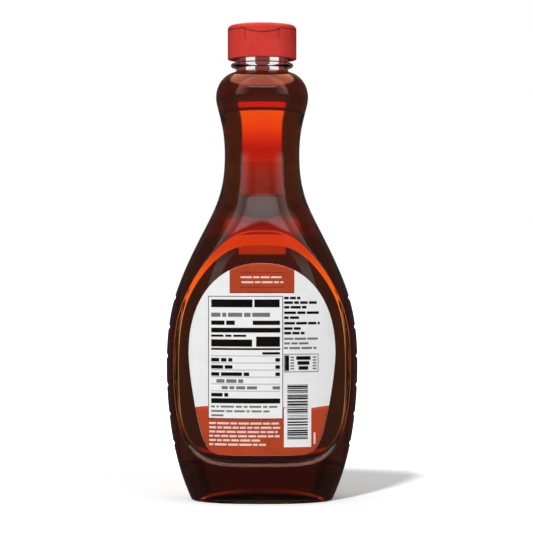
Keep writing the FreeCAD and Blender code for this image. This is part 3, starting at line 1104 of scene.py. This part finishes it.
@dataclass(frozen=True)
class LabelPrint:
    """The print on the label: fields of colour, and bars where rows of words stand."""

    shape: BodyShape
    thickness: float
    bottom: float
    top: float
    sheet: float = 0.015
    panel_left: float = -22.5
    panel_right: float = 8.7
    panel_top: float = 87.3
    panel_bottom: float = 36.0
    panel_border: float = 0.28
    side_margin: float = 1.15
    word_gap: float = 0.75
    rows: tuple[WordRow, ...] = (
        WordRow(1.30, 3.3, (17.4, 10.6)),
        WordRow(6.9, 1.7, (3.9, 1.7, 6.0, 2.7, 7.4), ink=Ink.GREY),
        WordRow(10.2, 1.8, (5.6, 3.6), 11.4),
        WordRow(13.2, 2.0, (29.0,)),
        WordRow(16.1, 0.9, (5.2, 2.6, 5.4)),
        WordRow(18.1, 3.0, (17.2,)),
        WordRow(16.9, 4.2, (), 10.0),
        WordRow(21.7, 0.8, (29.0,)),
        WordRow(23.4, 1.0, (), 7.4),
        WordRow(25.9, 1.5, (3.4, 2.3, 1.7), 1.9),
        WordRow(28.9, 1.5, (5.0, 3.2), 1.9),
        WordRow(31.9, 1.5, (3.4, 8.8, 2.3), 1.9),
        WordRow(34.8, 1.5, (3.4, 4.3, 2.1), 0.0, 2.2, Ink.GREY),
        WordRow(37.7, 1.3, (2.6, 2.0, 3.8, 4.2), 3.1, 4.4, Ink.GREY),
        WordRow(40.6, 1.5, (4.8, 1.6)),
        WordRow(42.8, 2.1, (29.0,)),
        WordRow(45.9, 0.8, (1.5, 1.0, 5.6, 2.6, 1.6, 5.0, 1.8, 3.4), ink=Ink.GREY),
        WordRow(47.8, 0.8, (5.6, 2.6, 4.4, 1.4, 4.2, 2.6), ink=Ink.GREY),
        WordRow(49.6, 0.8, (5.2,), ink=Ink.GREY),
    )
    first_rule: float = 25.0
    rule_pitch: float = 2.95
    rule_count: int = 6
    rule_height: float = 0.2
    middle_rise: float = 4.2
    side_gap: float = 4.1
    squareness: Span = (2.2, 10.0)
    taper: float = 0.24
    taper_bend: float = 1.5
    red_margin: float = 0.05
    tab_half_width: float = 13.6
    tab_bottom: float = 88.6
    crown_foot: float = 88.0
    foot_top: float = 40.6
    foot_crowding: float = 2.2
    wave_height: float = 0.55
    wave_turns: float = 7.0
    wave_start: float = 0.6
    block_columns: int = 17
    word_blocks: tuple[WordBlock, ...] = (
        WordBlock(9.3, 86.6, 1.95, 1.05, (6.8, 13.8, 9.4), Ink.BLACK, 3),
        WordBlock(9.3, 80.4, 2.05, 1.05, (15.4, 7.2), Ink.BLACK, 4),
        WordBlock(9.3, 76.0, 1.90, 1.05, (15.0,), Ink.BLACK, 5),
        WordBlock(9.3, 73.8, 1.95, 1.05, (8.0, 8.6), Ink.BLACK, 6),
        WordBlock(9.3, 69.5, 1.95, 0.85, (14.8, 10.2, 13.6), Ink.GREY, 7),
        WordBlock(-22.2, 34.0, 1.78, 0.85, (30.0, 30.2, 28.8, 29.6, 21.4, 24.0), Ink.PALE, 8),
        WordBlock(-9.0, 95.3, 1.90, 0.75, (18.2,), Ink.PALE, 9),
        WordBlock(-8.6, 93.2, 1.90, 0.75, (17.6,), Ink.PALE, 10),
    )
    word_lengths: Span = (1.6, 5.2)
    shortest_word: float = 0.8
    small_gap: float = 0.55
    tab_rules: tuple[Bar, ...] = (
        Bar(0.0, 97.2, 18.6, 0.3, Ink.DARK_RED),
        Bar(0.0, 91.1, 18.6, 0.3, Ink.DARK_RED),
    )
    side_mark: Bar = Bar(22.1, 27.6, 0.8, 4.8, Ink.PALE)
    stripe_heights: tuple[float, ...] = (0.22, 0.22, 0.44, 0.66)
    stripe_span: Span = (50.2, 27.2)

    def edge(self, height: Points) -> Points:
        """Return the label's half width at each height."""
        shape = self.shape
        middle = shape.floor.middle + self.middle_rise
        widest = float(shape.width.at(np.array(middle))[0]) - shape.floor.side_inset - self.side_gap
        angle = np.linspace(-math.pi / 2, math.pi / 2, 801)
        upper = angle >= 0
        across, along = superellipse(angle, np.where(upper, *self.squareness))
        taper = np.where(upper, 0.0, self.taper * np.abs(along) ** self.taper_bend)
        level = middle + np.abs(along) * (np.where(upper, self.top, self.bottom) - middle)
        return np.interp(height, level, across * widest * (1 - taper))

    def on_label(self, x: Points, height: Points, lift: float) -> Points:
        """Return points at a lift over the label's face."""
        spread = self.thickness + lift
        share = np.clip(np.abs(x) / (self.shape.floor_half_width + spread), 0, 1)
        depth = (self.shape.floor_half_depth + spread) * np.sqrt(1 - share ** 2)
        return np.stack([x, -depth, height], -1)

    def field(self, name: str, x: Points, height: Points, ink: Ink) -> bpy.types.Object:
        """Return a closed thin sheet of ink over a block of places on the label.

        Args:
            name: The piece's name.
            x: The block's x, as rows and columns.
            height: Its heights.
            ink: Its ink.

        Returns:
            The sheet, dressed.
        """
        draft = MeshDraft()
        near = self.on_label(x, height, ink.lift + self.sheet)
        far = self.on_label(x, height, ink.lift)
        draft.grid(near)
        draft.grid(far, flip=True)
        for rim in ((0,), (-1,), (slice(None), 0), (slice(None), -1)):
            draft.grid(np.stack([near[rim], far[rim]]))
        piece = draft.build(name)
        piece.data.materials.append(ink.material())
        return piece

    def red_fields(self) -> list[bpy.types.Object]:
        """Return the red tab at the label's top and the red foot with its wavy edge."""
        across = np.linspace(-1, 1, 61)
        tab_rows = np.linspace(0, 1, 13)[:, None]
        tab_x = np.tile(across * self.tab_half_width, (len(tab_rows), 1))
        heights = np.linspace(self.top, self.crown_foot, 200)
        crown = np.interp(np.abs(tab_x[0]), self.edge(heights), heights)
        tab_z = self.tab_bottom + tab_rows * (crown - self.red_margin - self.tab_bottom)[None]
        foot_rows = np.linspace(0, 1, 25)[:, None] ** self.foot_crowding
        wave = self.foot_top + self.wave_height * np.sin(across * self.wave_turns + self.wave_start)
        foot_low = self.bottom + self.red_margin
        foot_z = foot_low + foot_rows * (wave - foot_low)[None]
        foot_x = across[None] * (self.edge(foot_z) - self.red_margin)
        return [
            self.field("label_tab", tab_x, tab_z, Ink.RED),
            self.field("label_foot", foot_x, foot_z, Ink.RED),
        ]

    def row_bars(self, row: WordRow) -> list[Bar]:
        """Return the bars of one row of the panel of facts."""
        z = self.panel_top - row.drop - row.height / 2
        x = self.panel_left + self.side_margin + row.indent
        bars = []
        for width in row.words:
            bars.append(Bar(x + width / 2, z, width, row.height, row.ink))
            x += width + self.word_gap
        if row.right:
            end = self.panel_right - self.side_margin
            bars.append(Bar(end - row.right / 2, z, row.right, row.height, row.ink))
        return bars

    def panel_bars(self) -> list[Bar]:
        """Return the panel of facts: its border, its white field, its rules and its rows."""
        left, right, top, bottom = self.panel_left, self.panel_right, self.panel_top, self.panel_bottom
        middle_x, middle_z = (left + right) / 2, (top + bottom) / 2
        bars = [Bar(middle_x, middle_z, right - left, top - bottom, Ink.WHITE)]
        for x in (left, right):
            bars.append(Bar(x, middle_z, self.panel_border, top - bottom + self.panel_border, Ink.BLACK))
        for z in (bottom, top):
            bars.append(Bar(middle_x, z, right - left - self.panel_border, self.panel_border, Ink.BLACK))
        for index in range(self.rule_count):
            z = top - self.first_rule - self.rule_pitch * index
            width = right - left - 2 * self.side_margin
            bars.append(Bar(middle_x, z, width, self.rule_height, Ink.GREY))
        for row in self.rows:
            bars += self.row_bars(row)
        return bars

    def small_rows(self, block: WordBlock) -> list[Bar]:
        """Return the words of a block, with lengths drawn from its seed."""
        random = np.random.default_rng(block.seed)
        bars = []
        for index, width in enumerate(block.widths):
            x = block.left
            while x < block.left + width - self.shortest_word:
                word = min(random.uniform(*self.word_lengths), block.left + width - x)
                bars.append(Bar(x + word / 2, block.top - block.pitch * index, word, block.height, block.ink))
                x += word + self.small_gap
        return bars

    def side_bars(self) -> list[Bar]:
        """Return the print round the panel: small rows, the tab's rules, a plain sign and stripes."""
        bars = []
        for block in self.word_blocks:
            bars += self.small_rows(block)
        return bars + [*self.tab_rules, *self.plain_sign(), *self.stripes(), self.side_mark]

    def plain_sign(self) -> list[Bar]:
        """Return a small framed sign of plain blocks."""
        x, z, width, height, line = 16.5, 59.3, 14.2, 7.4, 0.22
        bars = [Bar(x + side * width / 2, z, line, height + line, Ink.BLACK) for side in (-1, 1)]
        bars += [Bar(x, z + side * height / 2, width, line, Ink.BLACK) for side in (-1, 1)]
        bars.append(Bar(x - 6.0, z, 1.7, height - 1.0, Ink.BLACK))
        for column in (x - 3.8, x + 5.6):
            bars += [Bar(column, z + 2.4 - 1.2 * index, 1.5, 0.6, Ink.GREY) for index in range(5)]
        bars += [Bar(x + 0.9, z + 2.1 - 2.1 * index, 6.0 - index, 1.5, Ink.BLACK) for index in range(3)]
        return bars

    def stripes(self) -> list[Bar]:
        """Return the white field at the label's foot with a ladder of plain stripes."""
        field = Bar(14.95, 32.2, 11.5, 16.4, Ink.WHITE)
        bars = [field]
        random = np.random.default_rng(11)
        z, end = self.stripe_span
        while z > end:
            thick = random.choice(self.stripe_heights)
            bars.append(Bar(field.x, z - thick / 2, 8.6, thick, Ink.BLACK))
            z -= thick + random.choice(self.stripe_heights)
        return bars

    def tree(self) -> ShapeTree:
        """Return the tree that sets one thin block on each point and bends it to the label."""
        form = ShapeTree("lay_print", {
            "Face Half Width": self.shape.floor_half_width + self.thickness,
            "Face Half Depth": self.shape.floor_half_depth + self.thickness,
        })
        nodes, links = form.tree.nodes, form.tree.links
        block = nodes.new("GeometryNodeMeshCube")
        block.inputs["Size"].default_value = (1.0, 1.0, 1.0)
        block.inputs["Vertices X"].default_value = self.block_columns
        place = nodes.new("GeometryNodeInstanceOnPoints")
        links.new(form.entry.outputs["Geometry"], place.inputs["Points"])
        links.new(block.outputs["Mesh"], place.inputs["Instance"])
        links.new(form.stored(BAR_SIZE, "FLOAT_VECTOR"), place.inputs["Scale"])
        share = form.position()[0] / form.size("Face Half Width")
        depth = ((share * share - 1.0) * -1.0).math("SQRT") * form.size("Face Half Depth")
        form.end(form.shift(form.realize(place.outputs[0]), join(form.tree, (None, depth * -1.0, None))))
        return form

    def build(self) -> list[bpy.types.Object]:
        """Return every piece of the print: the red fields, then one piece for each ink."""
        pieces = self.red_fields()
        bars = self.panel_bars() + self.side_bars()
        form = self.tree()
        for ink in Ink:
            chosen = [bar for bar in bars if bar.ink is ink]
            if not chosen:
                continue
            name = f"label_print_{ink.value[0]}"
            mesh = bpy.data.meshes.new(name)
            lift = ink.lift + self.sheet / 2
            mesh.from_pydata([(bar.x * MM, -lift * MM, bar.z * MM) for bar in chosen], [], [])
            size = mesh.attributes.new(BAR_SIZE, "FLOAT_VECTOR", "POINT")
            sizes = [side * MM for bar in chosen for side in (bar.width, self.sheet, bar.height)]
            size.data.foreach_set("vector", sizes)
            piece = link(name, mesh)
            form.apply(piece, ink.material())
            pieces.append(piece)
        return pieces


# ---------------------------------------------------------------- studio

@dataclass(frozen=True)
class Lamp:
    """One soft area lamp aimed at the bottle."""

    name: str
    place: Place
    size: float
    power: float


@dataclass(frozen=True)
class Studio:
    """A white room, as the camera sees it, and what gloss and clear pieces show of it instead.

    Gloss shows strips at the sides, a pale ceiling and a tan light overhead, which paints a tan
    reflection at the shoulder. Light through the bottle is painted: it comes from a tinted window,
    passes tinted veils that glow a little and hang before and behind it, and meets cards glowing in
    its neck; they paint the red column at the waist, the orange arch over the label and the stripes
    in the neck.
    """

    camera_place: Place = (0.0019, -0.860, 0.0998)
    lens: float = 135.1
    sensor_width: float = 36.0
    aim_height: float = 0.10
    room_light: float = 0.42
    dark: float = 0.04
    window_turn: Span = (23.0, 20.0)
    window_side: Span = (-0.1, 0.1)
    front_window: float = 0.15
    # Painted see-through colour: the window that only light through the bottle meets runs from black and dark
    # red low down to pale above the horizon.
    painted_window_tints: Stops = (
        (-18.0, (0.00, 0.000, 0.000)),
        (-15.0, (0.18, 0.006, 0.006)),
        (-11.0, (0.27, 0.008, 0.008)),
        (-3.0, (0.37, 0.010, 0.010)),
        (-1.2, (0.60, 0.050, 0.050)),
        (0.3, (1.16, 1.100, 0.700)),
    )
    strip: float = 1.2
    strip_near: Span = (28.0, 68.0)
    strip_far: Span = (71.0, 68.5)
    strip_rise: Span = (0.02, 0.15)
    ceiling: float = 2.2
    ceiling_rise: Span = (0.465, 0.515)
    ceiling_end: Span = (0.66, 0.56)
    ceiling_turn: Span = (48.0, 36.0)
    # Painted reflection: a tan light overhead that only gloss sees, for the tan band at the shoulder.
    painted_tan_sheen: Colour = (4.5, 1.6, 0.9)
    overhead_rise: Span = (0.58, 0.70)
    dim_room: float = 0.05
    veil_distance: float = 21.2
    veil_half_width: float = 60.0
    veil_heights: Span = (119.5, 186.0)
    # Painted see-through colour by height: pale low down, deep red over the waist, orange to white up to the
    # bulge, then dark with a thin red band.
    painted_veil_tints: Stops = (
        (119.5, (0.50, 0.480, 0.480)),
        (124.0, (0.75, 0.700, 0.700)),
        (134.0, (0.85, 0.800, 0.800)),
        (141.5, (0.95, 0.800, 0.800)),
        (144.0, (0.74, 0.300, 0.300)),
        (146.0, (0.50, 0.030, 0.030)),
        (150.0, (0.44, 0.015, 0.012)),
        (153.0, (0.52, 0.030, 0.025)),
        (155.5, (0.62, 0.090, 0.060)),
        (158.5, (0.74, 0.200, 0.120)),
        (161.0, (0.83, 0.330, 0.200)),
        (163.0, (0.89, 0.460, 0.300)),
        (166.0, (0.95, 0.660, 0.500)),
        (169.5, (0.97, 0.920, 0.900)),
        (171.1, (1.00, 1.000, 1.000)),
        (171.4, (0.02, 0.020, 0.020)),
        (172.4, (0.02, 0.020, 0.020)),
        (172.7, (0.70, 0.010, 0.010)),
        (174.1, (0.70, 0.010, 0.010)),
        (174.3, (0.02, 0.020, 0.020)),
        (186.0, (0.02, 0.020, 0.020)),
    )
    # Painted light: the faint glow of every veil.
    veil_glow: Colour = (0.040, 0.065, 0.060)
    # Painted shade: the panel veils glow less below these heights, down to the base glow, so the base looks
    # darker through the bottle.
    base_shade: Span = (0.012, 0.022)
    base_glow: float = 0.25
    # Painted light: a paler patch high in the middle of the veil behind the panel's floor.
    painted_patch_light: float = 0.40
    patch_low: Span = (0.1046, 0.1058)
    patch_side: Span = (0.0082, 0.0074)
    panel_veil_distance: float = 26.2
    panel_veil_points: int = 160
    panel_veil_spread: float = 3.0
    panel_veil_heights: Span = (-10.0, 126.0)
    panel_veil_shrinks: Span = (0.93, 0.82)
    panel_veil_rise: float = 1.3
    # Painted light: the ring veil lets light through like the panel's bevel, for the orange arch.
    painted_arch_light: float = 0.75
    # Painted glints: the ring veil glows strongly along its sides, between about 22 and 108 mm high.
    bevel_glow: float = 8.0
    bevel_glow_heights: tuple[Span, Span] = ((0.022, 0.034), (0.108, 0.098))
    # Painted shade: the veils round and behind the panel let almost no light through.
    painted_shade_tint: float = 0.02
    neck_card_heights: Span = (183.7, 198.0)
    neck_card_edges: tuple[float, ...] = (-12.9, -7.0, -3.0, 3.3, 7.2, 12.9)
    # Painted light in the neck: the cards glow dark red and pale by turns.
    neck_glow: tuple[Colour, Colour] = ((0.22, 0.045, 0.045), (0.95, 0.88, 0.85))
    floor_half: float = 6.0
    floor_bounce: float = 0.60
    floor_shade: float = 1.25
    floor_glow: float = 0.04
    # Painted light: from here out the floor glows white to the camera over the bottle's shadow.
    white_floor_from: Span = (0.115, 0.170)
    lamps: tuple[Lamp, ...] = (
        Lamp("key_lamp", (-0.467, -1.44, 1.20), 0.16, 23.7),
        Lamp("fill_lamp", (0.95, -0.95, 0.55), 0.80, 1.5),
    )

    def build(self) -> None:
        """Set up the camera, the world, the floor, the cards and the lamps."""
        self.set_camera()
        self.set_world()
        self.lay_floor()
        self.stand_cards(BodyShape())
        for lamp in self.lamps:
            self.hang(lamp)

    def set_camera(self) -> None:
        """Place a level camera in front of the label."""
        data = bpy.data.cameras.new("camera")
        data.lens = self.lens
        data.sensor_width = self.sensor_width
        camera = link("camera", data)
        camera.location = self.camera_place
        camera.rotation_euler = (math.pi / 2, 0.0, 0.0)
        bpy.context.scene.camera = camera

    def set_world(self) -> None:
        """Make the world white to look at, even for lighting, and patterned for gloss and glass, with painted
        reflections and painted see-through colour.
        """
        world = bpy.data.worlds.new("white_room")
        bpy.context.scene.world = world
        world.use_nodes = True
        tree = world.node_tree
        background = tree.nodes["Background"]
        x, y, rise = shaded_point(tree, "Generated")
        path = tree.nodes.new("ShaderNodeLightPath")
        kinds = ("Is Camera Ray", "Is Glossy Ray", "Is Transmission Ray")
        camera, glossy, through = (NodeField(tree, path.outputs[kind]) for kind in kinds)
        mirror = glossy * (through * -1.0 + 1.0)
        plain = (camera + mirror + through) * -self.room_light + self.room_light
        degrees = math.degrees(1)
        turn = x.math("ABSOLUTE").math("ARCTAN2", y.math("ABSOLUTE")) * degrees
        ahead = x.math("ABSOLUTE").math("ARCTAN2", y * -1.0) * degrees
        strip = ahead.step(*self.strip_near) * ahead.step(*self.strip_far) * rise.step(*self.strip_rise)
        ceiling = rise.step(*self.ceiling_rise) * rise.step(*self.ceiling_end)
        ceiling = ceiling * ahead.step(*self.ceiling_turn) * self.ceiling
        soft = (strip * self.strip).math("MAXIMUM", ceiling) + self.dim_room
        # Painted reflection: where gloss sees the tan light overhead.
        painted_tan_sheen = rise.step(*self.overhead_rise)
        behind = y.step(*self.window_side) * (1 - self.front_window) + self.front_window
        window = turn.step(*self.window_turn) * behind
        # Painted see-through colour: the window's tint follows the height above the horizon.
        tints = tree.nodes.new("ShaderNodeSeparateColor")
        tree.links.new(self.blend(tree, rise.math("ARCSINE") * degrees, self.painted_window_tints), tints.inputs[0])
        channels = []
        for tone, tint in zip(self.painted_tan_sheen, tints.outputs):
            seen = window * NodeField(tree, tint) + self.dark
            channels.append(camera + mirror * (soft + painted_tan_sheen * tone) + through * seen + plain)
        tree.links.new(join(tree, channels), background.inputs["Color"])

    def blend(self, tree: bpy.types.NodeTree, field: NodeField, stops: Stops) -> bpy.types.NodeSocket:
        """Return a colour that runs from stop to stop with a field's value."""
        ramp = tree.nodes.new("ShaderNodeValToRGB")
        first, last = stops[0][0], stops[-1][0]
        tree.links.new(((field - first) / (last - first)).socket, ramp.inputs[0])
        marks = ramp.color_ramp.elements
        for index, (value, colour) in enumerate(stops):
            share = (value - first) / (last - first)
            mark = marks.new(share) if 0 < index < len(stops) - 1 else marks[0 if index == 0 else -1]
            mark.color = (*colour, 1.0)
        return ramp.outputs["Color"]

    def lay_floor(self) -> None:
        """Lay a wide pale floor that keeps the bottle's shadow near it; further out it glows white to the
        camera as painted light, which fades out the shadow's far end. The camera sees it brighter than the
        light bouncing off it does.
        """
        mesh = bpy.data.meshes.new("floor")
        half = self.floor_half
        corners = [(x * half, y * half, 0.0) for x, y in ((-1, -1), (1, -1), (1, 1), (-1, 1))]
        mesh.from_pydata(corners, [], [(0, 1, 2, 3)])
        floor = link("floor", mesh)
        material = bpy.data.materials.new("pale_floor")
        material.use_nodes = True
        tree = material.node_tree
        shader = tree.nodes["Principled BSDF"]
        shader.inputs["Roughness"].default_value = 1.0
        shader.inputs["Specular IOR Level"].default_value = 0.0
        shader.inputs["Emission Color"].default_value = (1.0, 1.0, 1.0, 1.0)
        path = tree.nodes.new("ShaderNodeLightPath")
        camera = NodeField(tree, path.outputs["Is Camera Ray"])
        pale = camera * (self.floor_shade - self.floor_bounce) + self.floor_bounce
        tree.links.new(pale.socket, shader.inputs["Base Color"])
        x, y, _ = shaded_point(tree)
        # Painted light: the camera-only glow that grows with distance.
        far = (x * x + y * y).math("SQRT").step(*self.white_floor_from)
        tree.links.new((camera * (far + self.floor_glow)).socket, shader.inputs["Emission Strength"])
        floor.data.materials.append(material)
        floor.visible_glossy = False
        floor.visible_transmission = False

    def stand(self, card: bpy.types.Object, shader: str) -> bpy.types.ShaderNode:
        """Stand a card that only light through glass and syrup meets.

        Args:
            card: The card.
            shader: The kind of its shader.

        Returns:
            The shader's node.
        """
        material = bpy.data.materials.new(card.name)
        material.use_nodes = True
        tree = material.node_tree
        tree.nodes.remove(tree.nodes["Principled BSDF"])
        finish = tree.nodes.new(shader)
        tree.links.new(finish.outputs[0], tree.nodes["Material Output"].inputs["Surface"])
        card.data.materials.append(material)
        card.visible_camera = card.visible_diffuse = card.visible_glossy = card.visible_shadow = False
        return finish

    def board(self, name: str, left: float, right: float, far: float, heights: Span) -> bpy.types.Object:
        """Return a flat upright board, measured in millimetres."""
        draft = MeshDraft()
        draft.grid(np.array([[(x, far, height) for x in (left, right)] for height in heights]))
        return draft.build(name)

    def stand_cards(self, shape: BodyShape) -> None:
        """Hang veils that paint the see-through colour before and behind the bottle, and stand cards in its
        neck that glow as painted light.
        """
        for side in (-1, 1):
            far = side * self.veil_distance
            half = self.veil_half_width
            veil = self.hang_veil(self.board(f"veil_{side}", -half, half, far, self.veil_heights))
            tree = veil.id_data
            height = shaded_point(tree)[2] / MM
            tree.links.new(self.blend(tree, height, self.painted_veil_tints), veil.inputs["Color"])
            self.hang_panel_veil(shape, side)
        # Painted light: cards in the neck glow dark red and pale by turns, for the stripes seen through it.
        for index, (left, right) in enumerate(zip(self.neck_card_edges, self.neck_card_edges[1:])):
            card = self.board(f"neck_card_{index}", left, right, 0.0, self.neck_card_heights)
            glow = self.stand(card, "ShaderNodeEmission")
            glow.inputs["Color"].default_value = (*self.neck_glow[index % 2], 1.0)

    def hang_veil(self, card: bpy.types.Object) -> bpy.types.ShaderNode:
        """Make a card a tinted veil that glows a little as painted light, so that it is a little lighter than
        black.

        Args:
            card: The card.

        Returns:
            The node that holds the veil's tint.
        """
        both = self.stand(card, "ShaderNodeAddShader")
        tree = both.id_data
        tint = tree.nodes.new("ShaderNodeBsdfTransparent")
        glow = tree.nodes.new("ShaderNodeEmission")
        glow.inputs["Color"].default_value = (*self.veil_glow, 1.0)
        tree.links.new(tint.outputs[0], both.inputs[0])
        tree.links.new(glow.outputs[0], both.inputs[1])
        return tint

    def hang_panel_veil(self, shape: BodyShape, side: int) -> None:
        """Hang a veil by the panel that paints shade, dark but for a clearer ring like the panel's bevel that
        paints light; the ring also glows along its sides as painted glints, and the veil glows less low down
        as painted shade.

        Args:
            shape: The body's shape.
            side: On which side of the bottle.
        """
        angle = np.arange(self.panel_veil_points) * math.tau / self.panel_veil_points
        rings = []
        for outline, shrink in zip((shape.rim, shape.floor), self.panel_veil_shrinks):
            x, z = shape.outline_point(outline, angle)
            rings.append(np.stack([x * shrink, x * 0, z + self.panel_veil_rise], 1))
        centre = rings[0].mean(0)
        wide = (rings[0] - centre) * self.panel_veil_spread + centre
        wide[:, 2] = np.clip(wide[:, 2], *self.panel_veil_heights)
        rings.insert(0, wide)
        far = np.array((0.0, side * self.panel_veil_distance, 0.0))
        for name, pair, tint in (
            ("outer_veil", rings[:2], self.painted_shade_tint),
            ("ring_veil", rings[1:], self.painted_arch_light),
            ("inner_veil", rings[2:], self.painted_shade_tint),
        ):
            draft = MeshDraft()
            draft.stitch([ring + far for ring in pair])
            if len(pair) == 1:
                draft.close(pair[0] + far)
            veil = self.hang_veil(draft.build(f"{name}_{side}"))
            veil.inputs["Color"].default_value = (tint, tint, tint, 1.0)
            tree = veil.id_data
            across, _, height = shaded_point(tree)
            # Painted shade: less glow near the base.
            glow = height.step(*self.base_shade) * (1 - self.base_glow) + self.base_glow
            # Painted glints at the side bevels.
            if name == "ring_veil":
                low, high = self.bevel_glow_heights
                glow = glow + height.step(*low) * height.step(*high) * self.bevel_glow
            if name == "inner_veil":
                # Painted light: a paler patch high in the middle.
                patch = height.step(*self.patch_low) * across.math("ABSOLUTE").step(*self.patch_side)
                tone = patch * self.painted_patch_light + tint
                tree.links.new(join(tree, (tone, tone, tone)), veil.inputs["Color"])
            tree.links.new(glow.socket, tree.nodes["Emission"].inputs["Strength"])

    def hang(self, lamp: Lamp) -> None:
        """Hang one lamp and turn it to the bottle's middle."""
        data = bpy.data.lights.new(lamp.name, "AREA")
        data.shape = "DISK"
        data.size = lamp.size
        data.energy = lamp.power
        source = link(lamp.name, data)
        source.location = lamp.place
        reach = np.array((0.0, 0.0, self.aim_height)) - np.array(lamp.place)
        turn = math.atan2(reach[1], reach[0]) - math.pi / 2
        lean = math.atan2(math.hypot(reach[0], reach[1]), -reach[2])
        source.rotation_euler = (lean, 0.0, turn)
        source.visible_glossy = False
        source.visible_transmission = False


# ---------------------------------------------------------------- putting it together

def dress_node(node: bpy.types.Object, material: bpy.types.Material) -> None:
    """Give a carried-over node its finish."""
    node.data.materials.clear()
    node.data.materials.append(material)


def adopt(piece: bpy.types.Object, slot: str, *replaced: str) -> None:
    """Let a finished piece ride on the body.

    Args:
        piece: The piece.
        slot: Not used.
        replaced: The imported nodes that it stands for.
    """
    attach(piece, BODY)
    if replaced:
        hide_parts(*replaced)
    spare = piece.data.attributes.get(SKIN_INSET)
    if spare:
        piece.data.attributes.remove(spare)
    LOG.info("%s: %d faces", piece.name, len(piece.data.polygons))


def main() -> None:
    """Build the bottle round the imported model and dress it."""
    logging.basicConfig(level=logging.INFO, format="%(name)s: %(message)s")
    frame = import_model()
    bpy.context.scene.view_settings.view_transform = "Standard"
    shape = BodyShape()
    bottle = Bottle(shape, Grooves())
    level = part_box("syrup")[1].z / MM
    label_low, label_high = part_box("label")
    grooves = bottle.grooves.tree()
    for piece, finish, slot, node in (
        (bottle.build(), ClearPlastic().make(), "clear_plastic", "bottle"),
        (Syrup(bottle, level).build(), DarkSyrup().make(), "syrup", "syrup"),
    ):
        grooves.apply(piece, finish)
        adopt(piece, slot, node)
    thickness = -label_low.y / MM - shape.floor_half_depth
    for piece in LabelPrint(shape, thickness, label_low.z / MM, label_high.z / MM).build():
        adopt(piece, "label_film")
    red = MouldedPlastic("cap_plastic", (0.600, 0.042, 0.030), (0.550, 0.036, 0.026), shine=0.25)
    film = MouldedPlastic(
        "label_film", (0.830, 0.830, 0.830), (0.790, 0.790, 0.790), (0.38, 0.46), 0.000004
    )
    dress_node(frame["nodes"]["cap"], red.make())
    dress_node(frame["nodes"]["label"], film.make())
    Studio().build()


if __name__ == "__main__":
    main()
